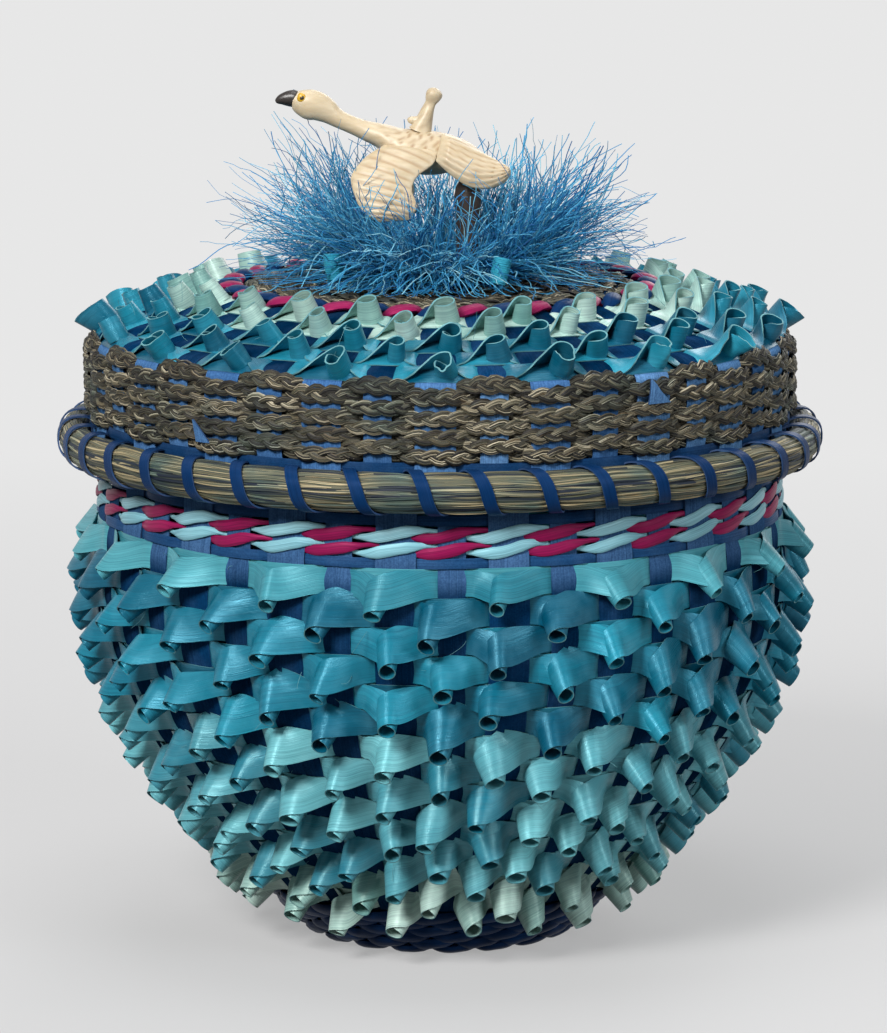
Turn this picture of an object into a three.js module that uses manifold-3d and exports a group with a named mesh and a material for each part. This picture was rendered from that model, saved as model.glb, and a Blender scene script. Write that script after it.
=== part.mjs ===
// A lidded fancy basket of dyed splints with pointed curls, a sweetgrass rim, a fringe and a carved swan.
// Millimetres, +Z up, the origin at the middle of the flat base, the front of the basket towards -Y.
import * as THREE from 'three';
import { mergeVertices } from 'three/addons/utils/BufferGeometryUtils.js';
import Module from 'manifold-3d';

// Stakes and weave
const stakeCount = 40;
const stakeSides = ['front', 'right', 'back', 'left'];
const bodyTurn = 1.9;
const lidTurn = 0.5;
const stakeShare = 0.5;
const stakeThickness = 0.4;
const splintThickness = 0.5;
const weaveOffset = 1.35;
const seatGap = 0.3;

// Body, from the base to the collar that the lid covers
const baseDiscRadius = 32.5;
const baseDiscThickness = 1.2;
const hubRadius = 14;
const footFlare = 3;
const footHeight = 4;
const bellyRadius = 86.1;
const bellyHeight = 92;
const collarRadius = 80.5;
const collarHeight = 152;
const wallSteps = 4;

// Rows of curls on the body, shared out evenly between the foot and the neck
const bodyRowCount = 15;
const footRowMargin = 5.4;
const neckRowMargin = 0.65;
const curlWeaverWidth = 5.6;
const curlReach = 6.4;
const curlDrop = 5.4;
const curlBaseShare = 0.4;

// Foot, neck and collar
const footTwineCount = 3;
const footTwineWidth = 2.7;
const footTwineGap = 0.4;
const footTwineThickness = 1;
const footTwineMargin = 1.4;
const narrowWeaverWidth = 2.3;
const neckMargin = 1.1;
const neckWeaverGap = 0.95;
const neckTwineGap = 1.4;
const twineWidth = 2.2;
const twineCrossingWidth = 0.9;
const twineRise = 0.65;
const twineSwing = 1.8;
const twineCrossingDepth = 0.7;
const collarHoopWidth = 3.4;
const collarHoopThickness = 1;

// Lid shell: it rests on the collar, and its side is as tall as what is woven on it
const lidFit = 3;
const lidSeat = 1.4;
const domeWidth = 34.5;
const domeRise = 9.6;
const hubRise = 1;
const lidRowCount = 5;
const lidRowInset = 4.7;
const lidRowMargin = 7.5;
const lidWeaverWidth = 4.9;
const lidCurlReach = 5.2;
const lidCurlDrop = 3.5;
const lidTwineWidth = 1.5;
const lidTwineSpread = 1;

// Sweetgrass of the lid
const braidCount = 5;
const braidGap = 0.5;
const braidWidth = 3.5;
const braidThickness = 1.1;
const shoulderMargin = 1.05;
const lidWeaverBand = 1.3;
const centreBraidInset = 1.5;
const centreBraidMargin = 4;
const centreBraidThickness = 1.6;

// Rim hoops of the lid and their lashing
const hoopHeight = 9.2;
const hoopDepth = 7.4;
const hoopRounding = 2.8;
const hoopOverhang = 0.8;
const hoopWallThickness = 0.9;
const lashingWidth = 3;
const lashingThickness = 0.45;
const lashingStart = 0.6;
const lashingAdvance = [0, 0.16, 0.32, 0.54, 0.82];

// Fringe: the way that each tuft stands and the rise of its steepest strands, in degrees
const fringeTufts = {
  right: { facing: 0, rise: 48 },
  back: { facing: 90, rise: 56 },
  left: { facing: 180, rise: 64 },
  front: { facing: 270, rise: 40 },
};
const fringeClearance = 2.2;
const fringeRollRadius = 3.6;
const fringeNest = 0.8;
const fringeSpan = 84;
const fringeLowestRise = 3;
const fringeColumns = 10;
const fringeRows = 4;
const fringeLength = 36;
const fringeDroop = 8;
const strandHalfWidth = 0.28;
const strandBend = 0.45;
const bentEvery = 4;

// Carved swan on its perch
const postRadius = 4.2;
const postHeight = 22.4;
const postX = 7;
const pegHeight = 9.2;
const pegFootRadius = 2.1;
const pegWaistRadius = 0.9;
const pegHeadRadius = 1.9;
const pegLean = 8;
const pegX = -3.5;
const pegLift = 13.5;
const swanSides = 8;
const wingLength = 30;
const wingDepth = 15;
const wingThickness = 3;
const wingPitch = 14;
const wingSplay = 18;
const wingSpread = 6.8;
const wingX = -2;
const wingLift = 2.4;

const stakeStep = (2 * Math.PI) / stakeCount;
const frontAngle = -Math.PI / 2;
const radians = THREE.MathUtils.degToRad;

// Heights of the lid, from the shoulder that rests on the collar down to the rim
const lidShoulderHeight = collarHeight + lidSeat;
const domeInnerHeight = lidShoulderHeight + domeRise;
const lidHubHeight = domeInnerHeight + hubRise;
const braidPitch = braidWidth + braidGap;
const topBraidHeight = lidShoulderHeight - shoulderMargin - braidWidth / 2;
const braidBandBottom = topBraidHeight - (braidCount - 1) * braidPitch - braidWidth / 2;
const lidWeaverHeight = braidBandBottom - braidGap - lidWeaverBand / 2;
const lashingHeight = seatGap + lashingThickness;
const hoopTop = lidWeaverHeight - lidWeaverBand / 2 - seatGap - lashingHeight;
const hoopBottom = hoopTop - hoopHeight;
const lidStakeEnd = hoopBottom + hoopOverhang;

// Heights of the neck, from the rim of the lid down to the top row of curls
const upperWeaverHeight = hoopBottom - lashingHeight - neckMargin - narrowWeaverWidth / 2;
const weaverToTwine = narrowWeaverWidth / 2 + neckWeaverGap + twineWidth / 2;
const upperTwineHeight = upperWeaverHeight - weaverToTwine;
const lowerTwineHeight = upperTwineHeight - twineWidth - neckTwineGap;
const lowerWeaverHeight = lowerTwineHeight - weaverToTwine;
const topRowHeight = lowerWeaverHeight - (narrowWeaverWidth + curlWeaverWidth) / 2 - neckRowMargin;

// Radii of the lid, which clears the stakes of the body at the lower edge of its rim and the collar's hoop
const neckShare = (collarHeight - hoopBottom + lashingHeight) / (collarHeight - bellyHeight);
const neckRadius = collarRadius + (bellyRadius - collarRadius) * neckShare;
const collarHoopRadius = collarRadius + stakeThickness + seatGap + collarHoopThickness;
const lidWallRadius = Math.max(neckRadius, collarHoopRadius) + lidFit;
const domeInnerRadius = lidWallRadius - domeWidth;
const hoopSeatRadius = lidWallRadius + stakeThickness + seatGap;
const hoopOuterRadius = hoopSeatRadius + hoopDepth;
const hoopShoulderRadius = hoopOuterRadius - hoopRounding;

const finishes = {
  stake: { color: 0x4f62a4, roughness: 0.6 },
  navy: { color: 0x1b376e, roughness: 0.6 },
  teal: { color: 0x2f87a5, roughness: 0.5 },
  paleTeal: { color: 0x6ab2bc, roughness: 0.5 },
  celadon: { color: 0xa3c7b9, roughness: 0.5 },
  aqua: { color: 0xaad7dc, roughness: 0.5 },
  burgundy: { color: 0x821446, roughness: 0.55 },
  sweetgrass: { color: 0x6f6048, roughness: 0.8 },
  hoop: { color: 0x96916e, roughness: 0.75 },
  fringe: { color: 0x3c8cb4, roughness: 0.85 },
  bone: { color: 0xe1cda5, roughness: 0.4 },
  darkWood: { color: 0x2b2018, roughness: 0.6 },
};

function around(angle, radius, height) {
  return new THREE.Vector3(radius * Math.cos(angle), radius * Math.sin(angle), height);
}

// Turns points and triangles into one closed body whose faces point out
function closedGeometry(points, triangles) {
  let volume = 0;
  for (const [a, b, c] of triangles) {
    volume += points[a].dot(new THREE.Vector3().crossVectors(points[b], points[c]));
  }
  const faces = volume < 0 ? triangles.map(([a, b, c]) => [a, c, b]) : triangles;
  const geometry = new THREE.BufferGeometry().setFromPoints(points);
  geometry.setIndex(faces.flat());
  return geometry;
}

function quad(a, b, c, d) {
  return [[a, b, c], [a, c, d]];
}

// Joins sections of equal size into a ring; curls gives the tip that stands out after a section
function ringGeometry(sections, curls = new Map()) {
  const size = sections[0].length;
  const points = sections.flat();
  const triangles = [];
  sections.forEach((section, index) => {
    const here = index * size;
    const next = ((index + 1) % sections.length) * size;
    const outerSides = curls.has(index) ? size - 1 : 0;
    for (let side = outerSides; side < size; side++) {
      const far = (side + 1) % size;
      triangles.push(...quad(here + side, here + far, next + far, next + side));
    }
    if (outerSides) {
      const tip = points.push(curls.get(index)) - 1;
      const near = Array.from({ length: size }, (_, side) => here + side);
      const loop = [...near, ...near.map((point) => point - here + next).reverse()];
      loop.forEach((point, step) => triangles.push([point, loop[(step + 1) % loop.length], tip]));
    }
  });
  return closedGeometry(points, triangles);
}

// Joins sections of equal size into a bar with flat ends
function barGeometry(sections) {
  const size = sections[0].length;
  const points = sections.flat();
  const last = (sections.length - 1) * size;
  const triangles = [];
  for (let index = 0; index < sections.length - 1; index++) {
    for (let side = 0; side < size; side++) {
      const far = (side + 1) % size;
      const here = index * size;
      triangles.push(...quad(here + side, here + far, here + size + far, here + size + side));
    }
  }
  for (let side = 1; side < size - 1; side++) {
    triangles.push([0, side + 1, side]);
    triangles.push([last, last + side, last + side + 1]);
  }
  return closedGeometry(points, triangles);
}

// The line of the stakes in a half plane: x is the radius and y the height.
// side is 1 where the outside lies to the right of the line's direction, and -1 where it lies to the left.
class StakeLine {
  constructor(corners, side) {
    this.corners = corners;
    this.side = side;
    this.lengths = [0];
    for (let i = 1; i < corners.length; i++) {
      this.lengths.push(this.lengths[i - 1] + corners[i].distanceTo(corners[i - 1]));
    }
  }

  at(distance) {
    let i = 1;
    while (i < this.corners.length - 1 && this.lengths[i] < distance) i++;
    const share = (distance - this.lengths[i - 1]) / (this.lengths[i] - this.lengths[i - 1]);
    return this.corners[i - 1].clone().lerp(this.corners[i], share);
  }

  // The distance at which the line passes a height or a radius, after a corner where the search starts
  distanceTo(axis, value, fromCorner) {
    for (let i = fromCorner + 1; i < this.corners.length; i++) {
      const a = this.corners[i - 1][axis];
      const b = this.corners[i][axis];
      if ((a - value) * (b - value) <= 0 && a !== b) {
        return this.lengths[i - 1] + ((value - a) / (b - a)) * (this.lengths[i] - this.lengths[i - 1]);
      }
    }
    return this.lengths[this.lengths.length - 1];
  }

  outward(direction) {
    return new THREE.Vector2(direction.y, -direction.x).multiplyScalar(this.side);
  }

  // A flat band of a width on the line: its two edges, its middle, its direction and its outward normal
  band(distance, width) {
    const start = this.at(distance - width / 2);
    const end = this.at(distance + width / 2);
    const along = end.clone().sub(start).normalize();
    const middle = start.clone().add(end).multiplyScalar(0.5);
    return { start, end, middle, along, normal: this.outward(along) };
  }

  cornerNormal(index) {
    const before = this.corners[Math.max(index - 1, 0)];
    const after = this.corners[Math.min(index + 1, this.corners.length - 1)];
    return this.outward(after.clone().sub(before).normalize());
  }
}

function placed(point, normal, offset, angle) {
  return around(angle, point.x + normal.x * offset, point.y + normal.y * offset);
}

// The three points of a splint: its two edges and the ridge of its outer face
function splintSection(band, offset, thickness, angle) {
  const inner = offset - thickness / 2;
  return [
    placed(band.start, band.normal, inner, angle),
    placed(band.middle, band.normal, inner + thickness, angle),
    placed(band.end, band.normal, inner, angle),
  ];
}

function stakeAngle(stake, turn) {
  return frontAngle + radians(turn) + stake * stakeStep;
}

// A weaver that passes over every second stake and under the others; a thick one swings out further
function weaver(line, distance, width, turn, firstOver, thickness = splintThickness) {
  const band = line.band(distance, width);
  const swing = weaveOffset + thickness - splintThickness;
  const sections = [];
  for (let stake = 0; stake < stakeCount; stake++) {
    const offset = (stake + firstOver) % 2 ? -swing : swing;
    sections.push(splintSection(band, offset, thickness, stakeAngle(stake, turn)));
  }
  return ringGeometry(sections);
}

// One strand of a twined pair: over a stake, then behind the next one between two crossings,
// high at the first crossing and low at the second
function twineStrand(line, distance, turn, firstOver) {
  const sections = [];
  for (let stake = firstOver; stake < stakeCount; stake += 2) {
    const over = line.band(distance, twineWidth);
    sections.push(splintSection(over, twineSwing, splintThickness, stakeAngle(stake, turn)));
    for (const side of [1, -1]) {
      const crossing = line.band(distance + side * twineRise, twineCrossingWidth);
      const angle = stakeAngle(stake + 1 - side / 2, turn);
      sections.push(splintSection(crossing, -twineCrossingDepth, splintThickness, angle));
    }
  }
  return ringGeometry(sections);
}

// A weaver that is drawn out into a pointed curl over every second stake
function curlRow(line, distance, width, turn, firstOver, reach, drop) {
  const band = line.band(distance, width);
  const tipPoint = band.middle.clone().addScaledVector(band.normal, reach + weaveOffset);
  tipPoint.addScaledVector(band.along, drop);
  const sections = [];
  const curls = new Map();
  for (let stake = 0; stake < stakeCount; stake++) {
    const angle = stakeAngle(stake, turn);
    if ((stake + firstOver) % 2) {
      sections.push(splintSection(band, -weaveOffset, splintThickness, angle));
      continue;
    }
    const half = (curlBaseShare * stakeStep) / 2;
    curls.set(sections.length, around(angle, tipPoint.x, tipPoint.y));
    sections.push(splintSection(band, weaveOffset, splintThickness, angle - half));
    sections.push(splintSection(band, weaveOffset, splintThickness, angle + half));
  }
  return ringGeometry(sections, curls);
}

// The stakes of one side: splints that meet in a hub and run out along the line.
// Its straight sides keep a narrow gap to the groups beside it.
function stakeGroup(line, turn, side) {
  const points = [];
  const triangles = [];
  const groupSize = stakeCount / stakeSides.length;
  const firstStake = (side - 0.5) * groupSize;
  const first = line.corners[0];
  const hubNormal = line.cornerNormal(0);
  const middleAngle = stakeAngle(firstStake + (groupSize - 1) / 2, turn);
  const hubTop = first.y + hubNormal.y * stakeThickness;
  const innerMiddle = points.push(around(middleAngle, seatGap, first.y)) - 1;
  const outerMiddle = points.push(around(middleAngle, seatGap, hubTop)) - 1;
  const hubEdges = [];
  for (let edge = 0; edge <= groupSize; edge++) {
    const inset = ((edge === 0) - (edge === groupSize)) * (seatGap / 2 / first.x);
    const angle = stakeAngle(firstStake + edge - 0.5, turn) + inset;
    hubEdges.push(points.push(around(angle, first.x, first.y)) - 1);
  }
  triangles.push([outerMiddle, hubEdges[0], innerMiddle]);
  triangles.push([innerMiddle, hubEdges[groupSize], outerMiddle]);
  for (let stake = 0; stake < groupSize; stake++) {
    const angle = stakeAngle(firstStake + stake, turn);
    const left = hubEdges[stake];
    const right = hubEdges[stake + 1];
    const ridge = points.push(placed(first, hubNormal, stakeThickness, angle)) - 1;
    triangles.push([innerMiddle, left, right], [outerMiddle, ridge, left], [outerMiddle, right, ridge]);
    let section = [left, right, ridge];
    for (let i = 1; i < line.corners.length; i++) {
      const corner = line.corners[i];
      const half = (stakeShare * stakeStep) / 2;
      const normal = line.cornerNormal(i);
      const next = [
        points.push(around(angle - half, corner.x, corner.y)) - 1,
        points.push(around(angle + half, corner.x, corner.y)) - 1,
        points.push(placed(corner, normal, stakeThickness, angle)) - 1,
      ];
      for (let side = 0; side < 3; side++) {
        const far = (side + 1) % 3;
        triangles.push(...quad(section[far], section[side], next[side], next[far]));
      }
      section = next;
    }
    triangles.push([section[1], section[0], section[2]]);
  }
  return closedGeometry(points, triangles);
}

// A plain hoop with the same section all round
function hoop(outline, turn) {
  const sections = [];
  for (let step = 0; step < stakeCount; step++) {
    sections.push(outline.map((point) => around(stakeAngle(step, turn), point.x, point.y)));
  }
  return ringGeometry(sections);
}

function add(group, name, geometry, finish) {
  const mesh = new THREE.Mesh(geometry, new THREE.MeshStandardMaterial({ ...finishes[finish], metalness: 0 }));
  mesh.name = name;
  group.add(mesh);
  return mesh;
}

const basket = new THREE.Group();
const body = new THREE.Group();
const lid = new THREE.Group();
basket.add(body, lid);

// Body line: flat base, foot, then a wall that swells as a quarter sine and draws in to the collar
const floorHeight = baseDiscThickness + stakeThickness + seatGap;
const footRadius = baseDiscRadius + footFlare;
const bodyCorners = [
  new THREE.Vector2(hubRadius, floorHeight),
  new THREE.Vector2(baseDiscRadius - 1, floorHeight),
];
const footCorner = bodyCorners.length;
for (let step = 0; step <= wallSteps; step++) {
  const share = step / wallSteps;
  const radius = footRadius + (bellyRadius - footRadius) * Math.sin((share * Math.PI) / 2);
  bodyCorners.push(new THREE.Vector2(radius, footHeight + (bellyHeight - footHeight) * share));
}
bodyCorners.push(new THREE.Vector2(collarRadius, collarHeight));
const bodyLine = new StakeLine(bodyCorners, 1);
const footTwineStart = bodyLine.distanceTo('y', footHeight + footTwineMargin, footCorner);
const footTwinePitch = footTwineWidth + footTwineGap;

function addBase() {
  const disc = new THREE.CylinderGeometry(baseDiscRadius, baseDiscRadius, baseDiscThickness, stakeCount);
  disc.rotateX(Math.PI / 2);
  disc.translate(0, 0, baseDiscThickness / 2);
  add(body, 'base_disc', disc, 'navy');
  stakeSides.forEach((name, side) => {
    add(body, `body_stakes_${name}`, stakeGroup(bodyLine, bodyTurn, side), 'stake');
  });
  for (let row = 0; row < footTwineCount; row++) {
    const distance = footTwineStart + row * footTwinePitch;
    const twine = weaver(bodyLine, distance, footTwineWidth, bodyTurn, row % 2, footTwineThickness);
    add(body, `foot_twine_${row + 1}`, twine, 'navy');
  }
}

function addBodyRows() {
  const top = bodyLine.distanceTo('y', topRowHeight, footCorner);
  const lastTwine = footTwineStart + (footTwineCount - 1) * footTwinePitch;
  const bottom = lastTwine + (footTwineWidth + curlWeaverWidth) / 2 + footRowMargin;
  for (let row = 0; row < bodyRowCount; row++) {
    const distance = top - (row / (bodyRowCount - 1)) * (top - bottom);
    const rows = curlRow(
      bodyLine, distance, curlWeaverWidth, bodyTurn, (row + 1) % 2, curlReach, -curlDrop,
    );
    const finish = row > 6 ? 'paleTeal' : 'teal';
    add(body, `body_curl_row_${String(row + 1).padStart(2, '0')}`, rows, finish);
  }
}

function addNeck() {
  const heights = { lower: lowerWeaverHeight, upper: upperWeaverHeight };
  for (const [name, height] of Object.entries(heights)) {
    const distance = bodyLine.distanceTo('y', height, footCorner);
    const ring = weaver(bodyLine, distance, narrowWeaverWidth, bodyTurn, 0);
    add(body, `neck_weaver_${name}`, ring, 'navy');
  }
  const twineHeights = { lower: lowerTwineHeight, upper: upperTwineHeight };
  for (const [name, height] of Object.entries(twineHeights)) {
    const distance = bodyLine.distanceTo('y', height, footCorner);
    add(body, `neck_twine_${name}_burgundy`, twineStrand(bodyLine, distance, bodyTurn, 0), 'burgundy');
    add(body, `neck_twine_${name}_aqua`, twineStrand(bodyLine, distance, bodyTurn, 1), 'aqua');
  }
}

// The collar ends in an inner and an outer hoop, half round, with the stakes between them
function addCollarHoops() {
  const end = bodyLine.distanceTo('y', collarHeight, footCorner);
  const band = bodyLine.band(end - collarHoopWidth / 2, collarHoopWidth);
  const faces = {
    outer: [stakeThickness + seatGap, collarHoopThickness],
    inner: [-seatGap, -collarHoopThickness],
  };
  for (const [name, [seat, bulge]] of Object.entries(faces)) {
    const outline = [
      band.start.clone().addScaledVector(band.normal, seat),
      band.middle.clone().addScaledVector(band.normal, seat + bulge),
      band.end.clone().addScaledVector(band.normal, seat),
    ];
    add(body, `collar_hoop_${name}`, hoop(outline, bodyTurn), 'stake');
  }
}

// Lid line: nearly flat middle, sloping dome, shoulder, upright side
const lidLine = new StakeLine([
  new THREE.Vector2(hubRadius, lidHubHeight),
  new THREE.Vector2(domeInnerRadius, domeInnerHeight),
  new THREE.Vector2(lidWallRadius, lidShoulderHeight),
  new THREE.Vector2(lidWallRadius, lidStakeEnd),
], -1);
const shoulderCorner = lidLine.corners.length - 2;

function addLidShell() {
  stakeSides.forEach((name, side) => {
    add(lid, `lid_stakes_${name}`, stakeGroup(lidLine, lidTurn, side), 'stake');
  });
  const outer = lidLine.lengths[shoulderCorner] - lidRowMargin;
  const inner = lidLine.distanceTo('x', domeInnerRadius, 0) + lidRowInset;
  for (let row = 0; row < lidRowCount; row++) {
    const distance = outer - (row / (lidRowCount - 1)) * (outer - inner);
    const ring = curlRow(
      lidLine, distance, lidWeaverWidth, lidTurn, row % 2, lidCurlReach, lidCurlDrop,
    );
    add(lid, `lid_curl_row_${row + 1}`, ring, row > 2 ? 'celadon' : 'teal');
  }
  const twine = lidLine.distanceTo('x', domeInnerRadius, 0);
  const navy = weaver(lidLine, twine - lidTwineSpread, lidTwineWidth, lidTurn, 0);
  const burgundy = weaver(lidLine, twine + lidTwineSpread, lidTwineWidth, lidTurn, 1);
  add(lid, 'lid_twine_navy', navy, 'navy');
  add(lid, 'lid_twine_burgundy', burgundy, 'burgundy');
}

function addLidSide() {
  for (let row = 0; row < braidCount; row++) {
    const distance = lidLine.distanceTo('y', topBraidHeight - row * braidPitch, shoulderCorner);
    const ring = weaver(lidLine, distance, braidWidth, lidTurn, row % 2, braidThickness);
    add(lid, `lid_braid_${row + 1}`, ring, 'sweetgrass');
  }
  const distance = lidLine.distanceTo('y', lidWeaverHeight, shoulderCorner);
  add(lid, 'lid_weaver', weaver(lidLine, distance, lidWeaverBand, lidTurn, 0), 'navy');
}

// Moves a corner of a clockwise outline out so that both its sides lie at a distance from where they were
function offsetCorner(outline, index, distance) {
  const corner = outline[index];
  const before = outline[(index + outline.length - 1) % outline.length];
  const after = outline[(index + 1) % outline.length];
  const sideNormal = (a, b) => new THREE.Vector2(a.y - b.y, b.x - a.x).normalize();
  const bisector = sideNormal(before, corner).add(sideNormal(corner, after)).normalize();
  const reach = distance / bisector.dot(sideNormal(before, corner));
  return corner.clone().addScaledVector(bisector, reach);
}

function addLidRim() {
  const hoopMiddle = (hoopBottom + hoopTop) / 2;
  const innerWall = lidWallRadius - seatGap;
  const hoopInnerRadius = innerWall - hoopWallThickness;
  const outerHoop = [
    new THREE.Vector2(hoopSeatRadius, hoopBottom),
    new THREE.Vector2(hoopShoulderRadius, hoopBottom),
    new THREE.Vector2(hoopOuterRadius, hoopMiddle),
    new THREE.Vector2(hoopShoulderRadius, hoopTop),
    new THREE.Vector2(hoopSeatRadius, hoopTop),
  ];
  const innerHoop = [
    new THREE.Vector2(hoopInnerRadius, hoopMiddle),
    new THREE.Vector2(innerWall, hoopBottom),
    new THREE.Vector2(innerWall, hoopTop),
  ];
  add(lid, 'lid_hoop_outer', hoop(outerHoop, lidTurn), 'hoop');
  add(lid, 'lid_hoop_inner', hoop(innerHoop, lidTurn), 'hoop');

  // The lashing turns about both hoops once for each stake and passes the side of the lid between two stakes
  const innerFace = hoopInnerRadius * Math.cos(stakeStep / 2);
  const wrap = [
    new THREE.Vector2(hoopShoulderRadius, hoopTop),
    new THREE.Vector2(hoopOuterRadius, hoopMiddle),
    new THREE.Vector2(hoopShoulderRadius, hoopBottom),
    new THREE.Vector2(innerFace, hoopBottom),
    new THREE.Vector2(innerFace, hoopTop),
  ];
  const half = lashingWidth / 2 / hoopOuterRadius;
  const sections = [];
  for (let turn = 0; turn < stakeCount; turn++) {
    wrap.forEach((_, index) => {
      const inner = offsetCorner(wrap, index, seatGap);
      const outer = offsetCorner(wrap, index, seatGap + lashingThickness);
      const angle = stakeAngle(turn + lashingStart + lashingAdvance[index], lidTurn);
      sections.push([
        around(angle - half, inner.x, inner.y),
        around(angle, outer.x, outer.y),
        around(angle + half, inner.x, inner.y),
      ]);
    });
  }
  add(lid, 'lid_hoop_lashing', ringGeometry(sections), 'navy');
}

// A flat ring of sweetgrass braid that lies on the middle of the lid, thickest half way out
function addCentreBraid() {
  const bottom = stakeThickness + seatGap;
  const start = centreBraidInset;
  const end = lidLine.distanceTo('x', domeInnerRadius, 0) - centreBraidMargin;
  const band = lidLine.band((start + end) / 2, end - start);
  const outline = [
    band.start.clone().addScaledVector(band.normal, bottom),
    band.middle.clone().addScaledVector(band.normal, bottom + centreBraidThickness),
    band.end.clone().addScaledVector(band.normal, bottom),
  ];
  add(lid, 'lid_centre_braid', hoop(outline, lidTurn), 'sweetgrass');
}

// A tuft is a quarter of a round roll of fibre with a strand on each triangle of its outer side.
// Strands leave square to the roll and droop alike, so none meets another.
function tuftGeometry(middleAngle, highestRise, random) {
  const points = [];
  const triangles = [];
  const ringRadius = postX + postRadius + fringeClearance + fringeRollRadius;
  const rollHeight = lidHubHeight + stakeThickness + centreBraidThickness - fringeNest;
  const lowestRise = radians(fringeLowestRise);
  const corner = (column, row) => {
    const swing = radians(fringeSpan) * (column / fringeColumns - 0.5);
    const rise = lowestRise + (radians(highestRise) - lowestRise) * (row / fringeRows);
    return { angle: middleAngle + swing, rise };
  };
  const along = ({ angle, rise }, distance) => {
    const droop = fringeDroop * (distance / fringeLength) ** 2 * Math.sin(rise);
    const radius = ringRadius + (fringeRollRadius + distance) * Math.cos(rise);
    return around(angle, radius, rollHeight + (fringeRollRadius + distance) * Math.sin(rise) - droop);
  };
  const index = (column, row) => row * (fringeColumns + 1) + column;
  for (let row = 0; row <= fringeRows; row++) {
    for (let column = 0; column <= fringeColumns; column++) points.push(along(corner(column, row), 0));
  }
  const strand = (bent, ...cell) => {
    const base = cell.map(([column, row]) => index(column, row));
    const mean = (axis) => cell.reduce((sum, place) => sum + place[axis], 0) / cell.length;
    const way = corner(mean(0), mean(1));
    const length = fringeLength * (0.8 + 0.25 * random());
    const tip = points.push(along(way, length)) - 1;
    if (!bent) {
      base.forEach((point, side) => triangles.push([point, base[(side + 1) % 3], tip]));
      return;
    }
    const bend = along(way, length * strandBend);
    const middle = base.reduce((sum, i) => sum.add(points[i]), new THREE.Vector3()).divideScalar(3);
    const ring = base.map((i) => {
      const spread = points[i].clone().sub(middle).setLength(strandHalfWidth);
      return points.push(bend.clone().add(spread)) - 1;
    });
    for (let side = 0; side < 3; side++) {
      const far = (side + 1) % 3;
      triangles.push(...quad(base[side], base[far], ring[far], ring[side]));
      triangles.push([ring[side], ring[far], tip]);
    }
  };
  for (let row = 0; row < fringeRows; row++) {
    for (let column = 0; column < fringeColumns; column++) {
      strand((column + row) % bentEvery === 0, [column, row], [column + 1, row], [column + 1, row + 1]);
      strand(false, [column, row], [column + 1, row + 1], [column, row + 1]);
    }
  }
  const inside = points.push(around(middleAngle, ringRadius - fringeRollRadius, rollHeight)) - 1;
  const rim = [];
  for (let column = 0; column < fringeColumns; column++) rim.push(index(column, 0));
  for (let row = 0; row < fringeRows; row++) rim.push(index(fringeColumns, row));
  for (let column = fringeColumns; column > 0; column--) rim.push(index(column, fringeRows));
  for (let row = fringeRows; row > 0; row--) rim.push(index(0, row));
  rim.forEach((point, step) => triangles.push([rim[(step + 1) % rim.length], point, inside]));
  return closedGeometry(points, triangles);
}

// Repeatable numbers from 0 to 1
function seededRandom(seed) {
  let state = seed;
  return () => {
    state = (state * 16807) % 2147483647;
    return state / 2147483647;
  };
}

function addFringe() {
  const random = seededRandom(7);
  for (const [side, { facing, rise }] of Object.entries(fringeTufts)) {
    add(lid, `fringe_${side}`, tuftGeometry(radians(facing), rise, random), 'fringe');
  }
}

// Joins closed pieces into one body
async function joined(geometries) {
  const wasm = await Module();
  wasm.setup();
  const solids = geometries.map((geometry) => {
    const bare = geometry.clone();
    bare.deleteAttribute('normal');
    bare.deleteAttribute('uv');
    const merged = mergeVertices(bare, 1e-4);
    return new wasm.Manifold(new wasm.Mesh({
      numProp: 3,
      vertProperties: new Float32Array(merged.attributes.position.array),
      triVerts: new Uint32Array(merged.index.array),
    }));
  });
  const mesh = solids.reduce((sum, solid) => sum.add(solid)).getMesh();
  const geometry = new THREE.BufferGeometry();
  geometry.setAttribute('position', new THREE.BufferAttribute(mesh.vertProperties, 3));
  geometry.setIndex(new THREE.BufferAttribute(mesh.triVerts, 1));
  return geometry;
}

// The swan looks to the left: oval sections from the tail, over the back and up the neck to the beak.
// Each row is x, the height above the top of the post, half the height and half the width of the oval.
const swanStations = [
  [17.3, 3.5, 1.2, 2.6],
  [12.5, 4.7, 3.6, 5.2],
  [5, 5.9, 5.4, 7],
  [-3, 6.5, 6.2, 7],
  [-10, 8.1, 5, 5.6],
  [-15.5, 11.5, 3.2, 3.6],
  [-19.3, 16.1, 2.4, 2.5],
  [-23.8, 19.8, 2.2, 2.2],
  [-28.6, 20.8, 2.8, 2.5],
  [-32.6, 19.9, 2, 1.8],
  [-36, 19, 1.2, 1.3],
  [-40.2, 18.1, 0.5, 0.7],
];
const postBottom = lidHubHeight + stakeThickness + seatGap;
const postTop = postBottom + postHeight;

function swanBodyGeometry() {
  const centres = swanStations.map(([x, lift]) => new THREE.Vector3(x, 0, postTop + lift));
  const sections = swanStations.map(([, , halfHeight, halfWidth], index) => {
    const before = centres[Math.max(index - 1, 0)];
    const after = centres[Math.min(index + 1, centres.length - 1)];
    const forward = after.clone().sub(before).normalize();
    const up = new THREE.Vector3(-forward.z, 0, forward.x).multiplyScalar(-1);
    const points = [];
    for (let step = 0; step < swanSides; step++) {
      const turn = (step / swanSides) * 2 * Math.PI;
      const point = centres[index].clone().addScaledVector(up, Math.cos(turn) * halfHeight);
      point.y += Math.sin(turn) * halfWidth;
      points.push(point);
    }
    return points;
  });
  return barGeometry(sections);
}

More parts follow.
